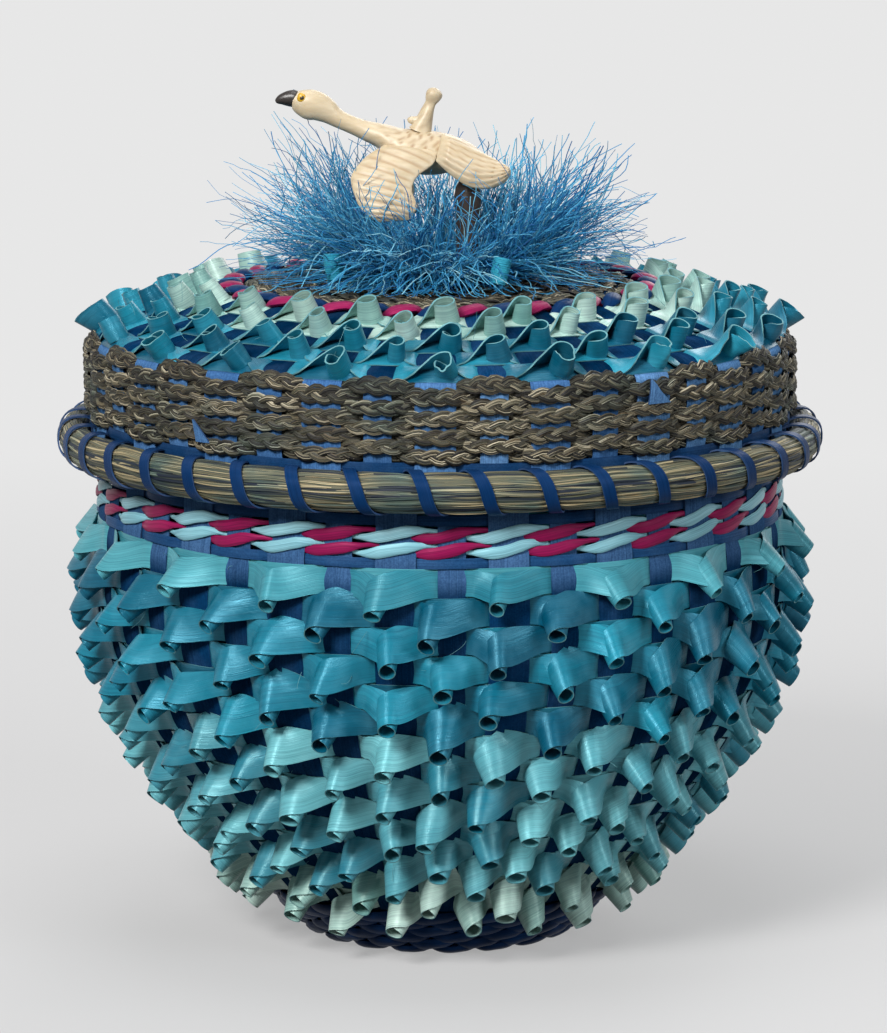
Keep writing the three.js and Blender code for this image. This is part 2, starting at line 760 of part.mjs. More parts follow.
function wingGeometry(side) {
  const wing = new THREE.SphereGeometry(1, 9, 5);
  wing.scale(wingLength / 2, wingThickness / 2, wingDepth / 2);
  wing.rotateX(radians(side * wingSplay));
  wing.rotateY(radians(wingPitch));
  wing.translate(wingX, side * wingSpread, postTop + wingThickness / 2 + wingLift);
  return wing;
}

async function addSwan() {
  const swan = await joined([swanBodyGeometry(), wingGeometry(1), wingGeometry(-1)]);
  add(lid, 'swan_carving', swan, 'bone');

  const post = new THREE.CylinderGeometry(postRadius, postRadius, postHeight, 10);
  post.rotateX(Math.PI / 2);
  add(lid, 'perch_post', post, 'darkWood').position.set(postX, 0, postBottom + postHeight / 2);

  // The outline of the peg gives each height as a share of the whole
  const outline = [
    [0, 0],
    [pegFootRadius, 0],
    [0.8 * pegFootRadius, 0.24],
    [pegWaistRadius, 0.46],
    [0.6 * pegHeadRadius, 0.59],
    [pegHeadRadius, 0.72],
    [0.75 * pegHeadRadius, 0.91],
    [0, 1],
  ];
  const points = outline.map(([radius, share]) => new THREE.Vector2(radius, share * pegHeight));
  const peg = new THREE.LatheGeometry(points, 8);
  peg.rotateX(Math.PI / 2);
  const placedPeg = add(lid, 'carved_peg', peg, 'bone');
  placedPeg.position.set(pegX, 0, postTop + pegLift);
  placedPeg.rotation.y = radians(pegLean);
}

addBase();
addBodyRows();
addNeck();
addCollarHoops();
addLidShell();
addLidSide();
addLidRim();
addCentreBraid();
addFringe();
await addSwan();

export default basket;
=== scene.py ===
"""The looks of a lidded fancy basket: dyed splints, pointed curls, braided grass, a fringe and a carved swan.

Everything is in metres in the frame's own axes: +Z up, the front towards -Y, the base at the origin.
"""

import math
from typing import NamedTuple

import bpy
import numpy as np
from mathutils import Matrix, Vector


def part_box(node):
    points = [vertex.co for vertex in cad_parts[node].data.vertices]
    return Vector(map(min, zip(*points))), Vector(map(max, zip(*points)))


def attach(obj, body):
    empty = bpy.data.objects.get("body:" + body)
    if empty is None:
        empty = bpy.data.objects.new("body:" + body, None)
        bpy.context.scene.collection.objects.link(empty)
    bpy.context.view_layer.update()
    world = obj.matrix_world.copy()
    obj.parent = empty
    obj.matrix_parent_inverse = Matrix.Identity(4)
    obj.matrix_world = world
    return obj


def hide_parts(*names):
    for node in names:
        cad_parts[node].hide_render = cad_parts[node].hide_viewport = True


bl_info = {
    "name": "Lidded fancy basket",
    "version": (1, 0, 0),
    "blender": (4, 5, 0),
    "location": "3D View > Sidebar > Basket",
    "description": "Builds the woven body, the lid and the carved swan of a lidded fancy basket",
    "category": "Add Mesh",
}

MM = 0.001
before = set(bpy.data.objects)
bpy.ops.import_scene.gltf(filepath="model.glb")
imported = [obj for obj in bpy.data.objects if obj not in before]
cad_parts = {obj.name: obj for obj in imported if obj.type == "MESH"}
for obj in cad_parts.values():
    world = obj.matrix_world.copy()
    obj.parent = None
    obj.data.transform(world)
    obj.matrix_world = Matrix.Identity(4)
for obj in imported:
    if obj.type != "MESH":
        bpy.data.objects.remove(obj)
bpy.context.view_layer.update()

# The weave. The frame has fewer braids and foot rows than are made here, so some of its nodes hold two
STAKES = 40
STEP = 2 * math.pi / STAKES
FRONT = -math.pi / 2
UP = np.array([0.0, 0.0, 1.0])
SIDES = ("front", "right", "back", "left")
BODY_ROWS = 15
LID_ROWS = 5
BRAID_NODES = 5
BRAID_ROWS = 8
FOOT_NODES = 3
FOOT_ROWS = 6
# The stake at the back where rings start and end, and how far the body and the lid are turned from the front
SEAM = STAKES // 2
BODY_TURN = math.radians(1.9)
LID_TURN = math.radians(-0.55)

# How thick splints are, and how far they swing in and out of the line of the stakes
STAKE_THICKNESS = 0.4 * MM
STAKE_SWING = 0.28 * MM
BAND_THICKNESS = 0.2 * MM
BAND_SWING = 0.5 * MM
CURLED_THICKNESS = 0.25 * MM
CURLED_SWING = 0.42 * MM
HOOP_THICKNESS = 0.9 * MM

# Distances past the base and past the foot on the line of the body, past the dome on the line of the lid, and
# the one at which stakes start
BASE_END = 40 * MM
FOOT_END = 45 * MM
DOME_END = 92 * MM
STAKE_START = 8 * MM

# Twined strands: how wide and thick they are, how far they climb, and how far they swing in and out
NECK_TWINE = dict(width=2.8 * MM, depth=0.8 * MM, rise=1.0 * MM, swing=0.75 * MM)
FOOT_TWINE = dict(width=3.8 * MM, depth=1.9 * MM, rise=0.7 * MM, swing=1.2 * MM)
LID_TWINE = dict(width=4.3 * MM, depth=2.2 * MM, rise=1.5 * MM, swing=1.5 * MM)

# Heights between which stakes change from the painted shade that they have where they lie among the curls to
# their lighter lit shades: under the neck, and over the side of the lid
NECK_SHADE_FADE = (100 * MM, 104 * MM)
SHOULDER_SHADE_FADE = (150.2 * MM, 151.4 * MM)

# The body: heights of the rings round its neck, the rows at its foot, the rings of its base
NECK_WEAVERS = {"lower": 107.8 * MM, "upper": 117.8 * MM}
NECK_WEAVER_WIDTH = 2.4 * MM
NECK_TWINES = {"lower": 111.0 * MM, "upper": 114.6 * MM}
FOOT_START = 0.5 * MM
FOOT_PITCH = 2.7 * MM
BASE_RINGS = 6
BASE_START = 6 * MM
BASE_PITCH = 4.2 * MM
BASE_WIDTH = 3.9 * MM
COLLAR_HOOPS = {"outer": 0.75 * MM, "inner": -0.75 * MM}

# The lid: radii of the outermost and innermost rows of curls, heights on its side, the braids of its middle
LID_ROW_RADII = (82.6 * MM, 56.9 * MM)
TOP_BRAID = 149.6 * MM
BRAID_PITCH = 2.33 * MM
LID_WEAVER_HEIGHT = 130.6 * MM
LID_WEAVER_WIDTH = 2.5 * MM
CENTRE_BRAIDS = 7
CENTRE_RADIUS = 46.2 * MM
CENTRE_PITCH = 4.6 * MM
# Stake ends that show over the braids: degrees round from the front, lower and upper height, and width
STAKE_TIPS = ((-40.2, 134 * MM, 139.4 * MM, 4.1 * MM), (33.4, 143.8 * MM, 148.8 * MM, 6.4 * MM))

# Braids: how many blades each of their strands has, and how long one turn of a strand is
BRAID_BLADES = 6
BRAID_PERIOD = 11.5 * MM

# The rim: an oval bundle of grass, and the splint that lashes it to the lid
HOOP_RADIUS = 90.9 * MM
HOOP_HEIGHT = 125.4 * MM
HOOP_HALF = (3.55 * MM, 4.5 * MM)
HOOP_BLADES = 68
LASHING_RADIUS = 89.95 * MM
LASHING_HALF = (5.15 * MM, 5.15 * MM)
LASHING_WIDTH = 3.2 * MM
LASHING_START = 0.6

# How many degrees curls point below level, on the first and last rows of the body and of the lid
BODY_CURL_WAY = (42, 54)
LID_CURL_WAY = (-61, -65)
# How much more conical the curls of the bottom row of the body are than those of the top one
LOW_TAPER = 1.35
# Frayed fibres on a row
HAIRS = 8
# The finish of each row of curls, from the top row of the body down and from the rim of the lid in
BODY_FINISHES = ["top_teal"] + ["teal"] * 5 + ["pale_teal"] * 7 + ["celadon"] * 2
LID_FINISHES = ["teal"] * 3 + ["celadon"] * 2

# The fringe: the ring that its fibres start from and its foot, both in millimetres, the lowest that loose
# fibres hang, and its core
FRINGE_RING = (13.5, 20.5)
FRINGE_FOOT = 165.4
FIBRE_FLOOR = 165.3 * MM
CORE_RADIUS = 17 * MM
CORE_HEIGHT = 168.2 * MM
CORE_HALF = (3.4 * MM, 2.7 * MM)
CORE_THREADS = 46
# Threads tied round the fringe: where they start and the way that they run
TIES = {
    "left": ((-25.5 * MM, -24.0 * MM, 166.6 * MM), (-0.12, 0.1, 1)),
    "front": ((14.0 * MM, -30.0 * MM, 166.4 * MM), (0.2, 0.1, 1)),
}
TIE = dict(radius=1.5 * MM, length=6.4 * MM, turns=13, thread=0.34 * MM)

CAMERA_DISTANCE = 1.25
CAMERA_RISE = math.radians(10)
CAMERA_TARGET = (0.0009, 0.0, 0.104)
CAMERA_LENS = 174


def stake_angle(stake, turn):
    """The direction of a stake, counted from the front towards the right."""
    return FRONT + turn + stake * STEP


def circle(count):
    """Even angles round a full turn."""
    return np.arange(count) / count * 2 * math.pi


def unit(vectors):
    """The vectors brought to a length of 1."""
    vectors = np.asarray(vectors, dtype=float)
    return vectors / np.maximum(np.linalg.norm(vectors, axis=-1, keepdims=True), 1e-12)


def tangents(points, closed):
    """The ways that lines of points run along axis 1."""
    if closed:
        return np.roll(points, -1, 1) - np.roll(points, 1, 1)
    return np.gradient(points, axis=1)


def run_lengths(points):
    """How far each point of a line lies from its first one along the line, which is the last axis but one."""
    steps = np.linalg.norm(np.diff(points, axis=-2), axis=-1)
    return np.concatenate([np.zeros((*steps.shape[:-1], 1)), np.cumsum(steps, -1)], -1)


def wall_faces(index, closed):
    """Faces of a tube whose points are numbered by ring and by place on the ring."""
    here = index if closed else index[:-1]
    ahead = np.roll(index, -1, 0) if closed else index[1:]
    return np.stack([here, ahead, np.roll(ahead, -1, 1), np.roll(here, -1, 1)], -1).reshape(-1, 4)


class Line:
    """The path of the stakes in a half plane, with places at a distance along it and out from it."""

    def __init__(self, radii, heights, outside):
        self.radii = np.asarray(radii)
        self.heights = np.asarray(heights)
        steps = np.hypot(np.diff(self.radii), np.diff(self.heights))
        self.lengths = np.concatenate([[0], np.cumsum(steps)])
        along_r = np.gradient(self.radii, self.lengths)
        along_z = np.gradient(self.heights, self.lengths)
        size = np.hypot(along_r, along_z)
        self.normal_r = outside * along_z / size
        self.normal_z = -outside * along_r / size

    def radius(self, distance):
        return np.interp(distance, self.lengths, self.radii)

    def height(self, distance):
        return np.interp(distance, self.lengths, self.heights)

    def at_height(self, height, after=0.0):
        """The distance at which the line first reaches a height, past some distance."""
        keep = self.lengths >= after
        heights, lengths = self.heights[keep], self.lengths[keep]
        order = np.argsort(heights)
        return float(np.interp(height, heights[order], lengths[order]))

    def at_radius(self, radius, before):
        """The distance at which the line reaches a radius, before some distance."""
        keep = self.lengths <= before
        return float(np.interp(radius, self.radii[keep], self.lengths[keep]))

    def place(self, angle, distance, out):
        """Points at angles about the axis, distances along the line and offsets out from it."""
        angle, distance, out = np.broadcast_arrays(angle, distance, out)
        radius = self.radius(distance) + np.interp(distance, self.lengths, self.normal_r) * out
        height = self.height(distance) + np.interp(distance, self.lengths, self.normal_z) * out
        return np.stack([radius * np.cos(angle), radius * np.sin(angle), height], -1)


def eased_corner(points, reach, steps=8):
    """A path through points whose inner corners are rounded over a reach."""
    path = [points[0]]
    for before, corner, after in zip(points, points[1:], points[2:]):
        before, corner, after = map(np.array, (before, corner, after))
        start = corner + (before - corner) / np.linalg.norm(before - corner) * reach
        end = corner + (after - corner) / np.linalg.norm(after - corner) * reach
        for share in np.linspace(0, 1, steps):
            path.append((1 - share) ** 2 * start + 2 * share * (1 - share) * corner + share**2 * end)
    path.append(points[-1])
    return np.array(path)


def body_line():
    """Flat base, foot, a wall that swells as a quarter sine, and a neck that draws in to the collar."""
    sizes = bpy.context.scene.basket_sizes
    hub, floor_height = 2 * MM, 1.2 * MM
    share = np.linspace(0, 1, 90)
    swell = sizes.foot_radius + (sizes.belly_radius - sizes.foot_radius) * np.sin(share * math.pi / 2)
    rise = sizes.foot_height + (sizes.belly_height - sizes.foot_height) * share
    neck = np.linspace(0, 1, 50)[1:]
    draw = sizes.belly_radius - (sizes.belly_radius - sizes.collar_radius) * neck**1.2
    up = sizes.belly_height + (sizes.collar_height - sizes.belly_height) * neck
    base = np.linspace(hub, sizes.foot_radius - 3.5 * MM, 20)
    return Line(
        np.concatenate([base, swell, draw]),
        np.concatenate([np.full(len(base), floor_height), rise, up]),
        1,
    )


def lid_line():
    """Nearly flat middle, sloping dome, shoulder and upright side of the lid."""
    sizes = bpy.context.scene.basket_sizes
    path = eased_corner(
        [
            (2 * MM, sizes.lid_height),
            (sizes.dome_radius, sizes.lid_height - 1 * MM),
            (sizes.lid_radius, sizes.shoulder_height),
            (sizes.lid_radius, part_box("lid_stakes_front")[0].z),
        ],
        4.5 * MM,
    )
    parts = [np.linspace(start, end, 12, endpoint=False) for start, end in zip(path, path[1:])]
    fine = np.concatenate([*parts, path[-1:]])
    return Line(fine[:, 0], fine[:, 1], -1)


# Mesh code


class Builder:
    """Collects ribbons and strands and turns them into one mesh with a grain attribute.

    The grain attribute holds the distance along a strip, the distance across it and its own tone; on carved
    skins the third value is painted shade instead.
    """

    def __init__(self, name, seed):
        self.name = name
        self.rng = np.random.default_rng(seed)
        self.points = []
        self.grain = []
        self.faces = []
        self.finishes = []
        self.count = 0

    def add(self, points, grain, faces, finish=0):
        """Adds points with their grain, and faces as arrays of equal size that index them."""
        self.points.append(points.reshape(-1, 3))
        self.grain.append(grain.reshape(-1, 3))
        for block in faces:
            self.faces.append(block + self.count)
            self.finishes.append(np.full(len(block), finish))
        self.count += points.size // 3

    def tones(self, count, spread=1.0):
        """A tone from 0 to 1 for each strip."""
        return 0.5 + (self.rng.random(count) - 0.5) * spread

    def ribbons(self, grid, thickness, closed=False, tone=None, cut=1):
        """Flat splints: grid has the shape splints, steps along, lines across, 3."""
        count, along, across = grid.shape[:3]
        normal = unit(np.cross(tangents(grid, closed), np.gradient(grid, axis=2)))
        half = normal * thickness / 2
        shell = np.stack([grid + half, grid - half], 1)

        length = run_lengths(grid[:, :, across // 2])
        reach = run_lengths(grid)
        tone = self.tones(count) if tone is None else np.broadcast_to(tone, count)
        start = self.rng.random((count, 1, 1)) * 9
        grain = np.stack(
            [
                np.broadcast_to(length[:, :, None] + start, reach.shape),
                reach + self.rng.random((count, 1, 1)),
                np.broadcast_to(tone[:, None, None], reach.shape),
            ],
            -1,
        )
        grain = np.stack([grain, grain], 1)

        index = np.arange(2 * along * across).reshape(2, along, across)
        here = index if closed else index[:, :-1]
        ahead = np.roll(index, -1, 1) if closed else index[:, 1:]
        top = np.stack([here[0, :, :-1], ahead[0, :, :-1], ahead[0, :, 1:], here[0, :, 1:]], -1)
        bottom = np.stack([here[1, :, :-1], here[1, :, 1:], ahead[1, :, 1:], ahead[1, :, :-1]], -1)
        low = np.stack([here[0, :, 0], here[1, :, 0], ahead[1, :, 0], ahead[0, :, 0]], -1)
        high = np.stack([here[0, :, -1], ahead[0, :, -1], ahead[1, :, -1], here[1, :, -1]], -1)
        flat = [top.reshape(-1, 4), bottom.reshape(-1, 4)]
        edges = [low, high]
        if not closed:
            a, b = index[0, 0], index[1, 0]
            edges.append(np.stack([a[:-1], a[1:], b[1:], b[:-1]], -1))
            a, b = index[0, -1], index[1, -1]
            edges.append(np.stack([a[:-1], b[:-1], b[1:], a[1:]], -1))
        size = 2 * along * across
        offsets = (np.arange(count) * size)[:, None, None]
        flat = (np.concatenate(flat)[None] + offsets).reshape(-1, 4)
        edges = (np.concatenate(edges)[None] + offsets).reshape(-1, 4)
        base = self.count
        self.add(shell, grain, [flat])
        self.faces.append(edges + base)
        self.finishes.append(np.full(len(edges), cut))

    def strands(self, centre, normal, half_width, half_depth, sides=6, closed=False, tone=None, finish=0):
        """Round or oval strands: centre and normal have the shape strands, steps along, 3."""
        count, along = centre.shape[:2]
        forward = unit(tangents(centre, closed))
        across = unit(np.cross(forward, normal))
        out = np.cross(across, forward)
        turn = circle(sides)
        half_width = np.broadcast_to(half_width, (count, along))[:, :, None, None]
        half_depth = np.broadcast_to(half_depth, (count, along))[:, :, None, None]
        ring = (
            centre[:, :, None]
            + across[:, :, None] * np.cos(turn)[:, None] * half_width
            + out[:, :, None] * np.sin(turn)[:, None] * half_depth
        )
        length = run_lengths(centre)
        tone = self.tones(count) if tone is None else np.broadcast_to(tone, count)
        shape = (count, along, sides)
        girth = np.abs(turn - math.pi) * (half_width[..., 0] + half_depth[..., 0]) / 2
        grain = np.stack(
            [
                np.broadcast_to(length[:, :, None] + self.rng.random((count, 1, 1)) * 9, shape),
                girth + self.rng.random((count, 1, 1)),
                np.broadcast_to(tone[:, None, None], shape),
            ],
            -1,
        )
        index = np.arange(along * sides).reshape(along, sides)
        offsets = (np.arange(count) * along * sides)[:, None, None]
        faces = [(wall_faces(index, closed)[None] + offsets).reshape(-1, 4)]
        if not closed:
            ends = np.stack([index[0], index[-1][::-1]])
            faces.append((ends[None] + offsets).reshape(-1, sides))
        self.add(ring, grain, faces, finish)

    def skin(self, rings, painted_shade, finish=0):
        """A closed skin over rings of points, in the shape rings, sides, 3, with how much painted shade
        darkens it at each.
        """
        along, sides = rings.shape[:2]
        grain = np.concatenate([rings[..., :2], painted_shade[..., None]], -1)
        index = np.arange(along * sides).reshape(along, sides)
        self.add(rings, grain, [wall_faces(index, False), np.stack([index[0], index[-1][::-1]])], finish)

    def build(self, body, finishes, node, sharp=50):
        """Makes the object with its finishes, in the place of a node on a body of the frame."""
        points = np.concatenate(self.points)
        sizes = np.concatenate([np.full(len(block), block.shape[1]) for block in self.faces])
        corners = np.concatenate([block.ravel() for block in self.faces])
        mesh = bpy.data.meshes.new(self.name)
        mesh.vertices.add(len(points))
        mesh.vertices.foreach_set("co", points.astype(np.float32).ravel())
        mesh.loops.add(len(corners))
        mesh.loops.foreach_set("vertex_index", corners.astype(np.int32))
        mesh.polygons.add(len(sizes))
        starts = np.concatenate([[0], np.cumsum(sizes)[:-1]])
        mesh.polygons.foreach_set("loop_start", starts.astype(np.int32))
        mesh.polygons.foreach_set("material_index", np.concatenate(self.finishes).astype(np.int32))
        attribute = mesh.attributes.new("grain", "FLOAT_VECTOR", "POINT")
        attribute.data.foreach_set("vector", np.concatenate(self.grain).astype(np.float32).ravel())
        mesh.update(calc_edges=True)
        mesh.shade_smooth()
        mesh.set_sharp_from_angle(angle=math.radians(sharp))
        for finish in finishes:
            mesh.materials.append(MATERIALS[finish])
        piece = bpy.data.objects.new(self.name, mesh)
        bpy.context.scene.collection.objects.link(piece)
        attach(piece, body)
        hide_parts(node)


def ripple(rng, angle, waves, size):
    """A wandering value round a ring that meets itself: a few sines with random phases."""
    total = np.zeros_like(angle)
    for wave in waves:
        crest = np.sin(wave * angle + rng.random() * 2 * math.pi)
        total += math.sqrt(1 / len(waves)) * crest * rng.uniform(0.6, 1.4)
    return total * size


# Materials


def seen(red, green, blue):
    """A colour as it is seen on a screen, 0 to 255, as the linear colour that a shader takes."""
    values = []
    for value in (red, green, blue):
        share = value / 255
        values.append(share / 12.92 if share <= 0.04045 else ((share + 0.055) / 1.055) ** 2.4)
    return (*values, 1.0)


def darker(colour, share):
    """A colour brought down to a share of its brightness."""
    return (*(share * value for value in colour[:3]), 1)


class Shader:
    """A material with short ways to add and link nodes."""

    def __init__(self, name):
        self.material = bpy.data.materials.new(name)
        self.material.use_nodes = True
        self.tree = self.material.node_tree
        self.surface = self.tree.nodes["Principled BSDF"]

    def node(self, kind, inputs=None, **settings):
        node = self.tree.nodes.new(kind)
        for key, value in settings.items():
            setattr(node, key, value)
        for key, value in (inputs or {}).items():
            self.put(value, node.inputs[key])
        return node

    def put(self, value, socket):
        if isinstance(value, bpy.types.NodeSocket):
            self.tree.links.new(value, socket)
        else:
            socket.default_value = value

    def grain(self):
        """The strip's own coordinates: along, across and tone, or painted shade on carved skins."""
        attribute = self.node("ShaderNodeAttribute", attribute_name="grain")
        parts = self.node("ShaderNodeSeparateXYZ", {"Vector": attribute.outputs["Vector"]})
        return parts.outputs["X"], parts.outputs["Y"], parts.outputs["Z"]

    def scaled(self, value, factor, offset=0.0):
        node = self.node("ShaderNodeMath", {0: value, 1: factor, 2: offset}, operation="MULTIPLY_ADD")
        return node.outputs[0]

    def streaks(self, along_scale, across_scale, detail=3.0, third=0.0):
        """Noise drawn out along the strip, with scales in waves per metre."""
        along, across, tone = self.grain()
        vector = self.node(
            "ShaderNodeCombineXYZ",
            {
                "X": self.scaled(along, along_scale),
                "Y": self.scaled(across, across_scale),
                "Z": self.scaled(tone, 37.0, third),
            },
        )
        noise = self.node("ShaderNodeTexNoise", {"Vector": vector.outputs[0], "Scale": 1.0, "Detail": detail})
        return noise.outputs["Fac"]

    def patches(self, scale, detail=2.0):
        """Noise in the frame's own space, in waves per metre."""
        place = self.node("ShaderNodeTexCoord")
        noise = self.node(
            "ShaderNodeTexNoise",
            {"Vector": place.outputs["Object"], "Scale": scale, "Detail": detail},
        )
        return noise.outputs["Fac"]

    def ramp(self, value, stops):
        node = self.node("ShaderNodeValToRGB", {"Fac": value})
        elements = node.color_ramp.elements
        while len(elements) < len(stops):
            elements.new(0.5)
        for element, (position, colour) in zip(elements, stops):
            element.position = position
            element.color = colour
        return node.outputs["Color"]

    def mixed(self, share, first, second, mode="MIX"):
        """A mix of two colours, which the node keeps on sockets 6 and 7 and gives on its output 2."""
        node = self.node("ShaderNodeMix", data_type="RGBA", blend_type=mode)
        self.put(share, node.inputs[0])
        self.put(first, node.inputs[6])
        self.put(second, node.inputs[7])
        return node.outputs[2]

    def remapped(self, value, low, high, to_low, to_high):
        node = self.node(
            "ShaderNodeMapRange",
            {"Value": value, "From Min": low, "From Max": high, "To Min": to_low, "To Max": to_high},
        )
        return node.outputs[0]

    def bump(self, height, depth, strength=1.0):
        node = self.node("ShaderNodeBump", {"Height": height, "Distance": depth, "Strength": strength})
        self.tree.links.new(node.outputs[0], self.surface.inputs["Normal"])

    def finish(self, colour, roughness, gloss=0.5, tint=(1, 1, 1, 1)):
        """Links colour and roughness; gloss and its tint are set on the shader's own sockets."""
        self.put(colour, self.surface.inputs["Base Color"])
        self.put(roughness, self.surface.inputs["Roughness"])
        self.surface.inputs["Specular IOR Level"].default_value = gloss
        self.surface.inputs["Specular Tint"].default_value = tint
        return self.material


def splint_material(name, dark, light, roughness=0.42, patch=0.18, gloss=0.5, upper=None, speckle=0.0):
    """Dyed ash splint: a colour between two shades by the strip's tone, with fine silky grain.

    Stakes have a second, lighter pair of shades where they cross the neck and the side of the lid; their
    first, darker pair below the neck and on the dome is painted shade for where they lie among the curls.
    """
    peak = max(light[:3])
    tint = (*(0.25 + 0.75 * value / peak for value in light[:3]), 1)
    shader = Shader(name)
    tone = shader.grain()[2]
    fine = shader.streaks(45, 6400, 4)
    broad = shader.streaks(30, 1200, 2, 5.0)
    mottle = shader.patches(160)
    shade = shader.mixed(tone, dark, light)
    # Painted shade: below the neck and on the dome the stakes keep the darker pair of shades, standing for
    # the shade among the curls; between the two heights they take the lighter, lit pair.
    if upper:
        place = shader.node("ShaderNodeTexCoord").outputs["Object"]
        height = shader.node("ShaderNodeSeparateXYZ", {"Vector": place}).outputs["Z"]
        above = shader.remapped(height, *NECK_SHADE_FADE, 0, 1)
        below = shader.remapped(height, *SHOULDER_SHADE_FADE, 1, 0)
        both = shader.node("ShaderNodeMath", {0: above, 1: below}, operation="MULTIPLY")
        shade = shader.mixed(both.outputs[0], shade, shader.mixed(tone, *upper))
    faded = shader.mixed(0.4, shade, tint)
    worn = shader.mixed(shader.remapped(mottle, 0.42, 0.72, 0.0, patch), shade, faded)
    streaks = shader.remapped(fine, 0.35, 0.7, 0.0, 1.0)
    streaked = shader.mixed(streaks, worn, (0.5, 0.56, 0.6, 1), "MULTIPLY")
    bands = shader.remapped(broad, 0.4, 0.75, 0.0, 0.4)
    lined = shader.mixed(bands, streaked, (1.4, 1.4, 1.36, 1), "MULTIPLY")
    if speckle:
        spots = shader.remapped(shader.patches(2300, 1), 0.35, 0.65, 0, speckle)
        lined = shader.mixed(spots, lined, (1.9, 1.8, 1.6, 1), "MULTIPLY")
    shader.bump(fine, 0.08 * MM, 0.8)
    rough = shader.remapped(fine, 0.3, 0.7, roughness - 0.07, roughness + 0.1)
    return shader.finish(lined, rough, gloss, tint)


def cut_material(name, colour):
    """The pale cut edge of a splint."""
    shader = Shader(name)
    fine = shader.streaks(400, 4000, 2)
    shade = shader.mixed(shader.remapped(fine, 0.35, 0.7, 0, 1), colour, darker(colour, 0.6))
    shader.bump(fine, 0.05 * MM)
    return shader.finish(shade, 0.7)


def grass_material(name, stops, roughness=0.55, fine_scale=3000, dyed=None):
    """Dry grass: every blade has its own colour from a ramp, with fine lines along it."""
    shader = Shader(name)
    tone = shader.grain()[2]
    blades = shader.streaks(25, fine_scale, 3)
    fine = shader.streaks(60, 9000, 2, 3.0)
    choice = shader.node("ShaderNodeMath", {0: tone, 1: shader.scaled(blades, 2.8, -1.5)}, operation="ADD")
    colour = shader.ramp(choice.outputs[0], stops)
    if dyed:
        patches = shader.remapped(shader.patches(55), 0.48, 0.64, 0, 0.85)
        colour = shader.mixed(patches, colour, dyed, "MULTIPLY")
    lined = shader.mixed(shader.remapped(fine, 0.35, 0.7, 0, 0.8), colour, (0.5, 0.47, 0.43, 1), "MULTIPLY")
    both = shader.node("ShaderNodeMath", {0: blades, 1: shader.scaled(fine, 0.3)}, operation="ADD")
    shader.bump(both.outputs[0], 0.25 * MM, 0.8)
    rough = shader.remapped(fine, 0.3, 0.7, roughness - 0.12, roughness + 0.12)
    return shader.finish(lined, rough, 0.3)


def bone_material():
    """Carved bone: creamy, with faint growth lines, and painted shade that darkens its hollows and grooves.
    """
    shader = Shader("carved bone")
    place = shader.node("ShaderNodeTexCoord").outputs["Object"]
    stretched = shader.node("ShaderNodeMapping", {"Vector": place, "Scale": (260, 900, 900)})
    lines = shader.node(
        "ShaderNodeTexNoise", {"Vector": stretched.outputs[0], "Scale": 1.0, "Detail": 4}
    ).outputs["Fac"]
    mottle = shader.patches(220, 3)
    painted_shade = shader.grain()[2]
    colour = shader.mixed(lines, seen(178, 160, 128), seen(212, 198, 172))
    colour = shader.mixed(shader.remapped(mottle, 0.45, 0.75, 0, 0.5), colour, seen(190, 168, 132))
    # Painted shade: the grooves of the carving are darkened towards brown by the value that the skins carry.
    colour = shader.mixed(painted_shade, colour, seen(146, 112, 76))
    shader.bump(lines, 0.12 * MM, 0.5)
    shader.surface.inputs["Subsurface Weight"].default_value = 0.08
    shader.surface.inputs["Subsurface Radius"].default_value = (0.004, 0.0025, 0.0012)
    return shader.finish(colour, 0.42)


def plain_material(name, colour, roughness, depth=0.05 * MM, scale=1500):
    """A painted or dark spot with a fine uneven surface."""
    shader = Shader(name)
    noise = shader.patches(scale, 3)
    shade = shader.mixed(noise, darker(colour, 0.75), colour)
    shader.bump(noise, depth)
    return shader.finish(shade, roughness)


MATERIALS = {}


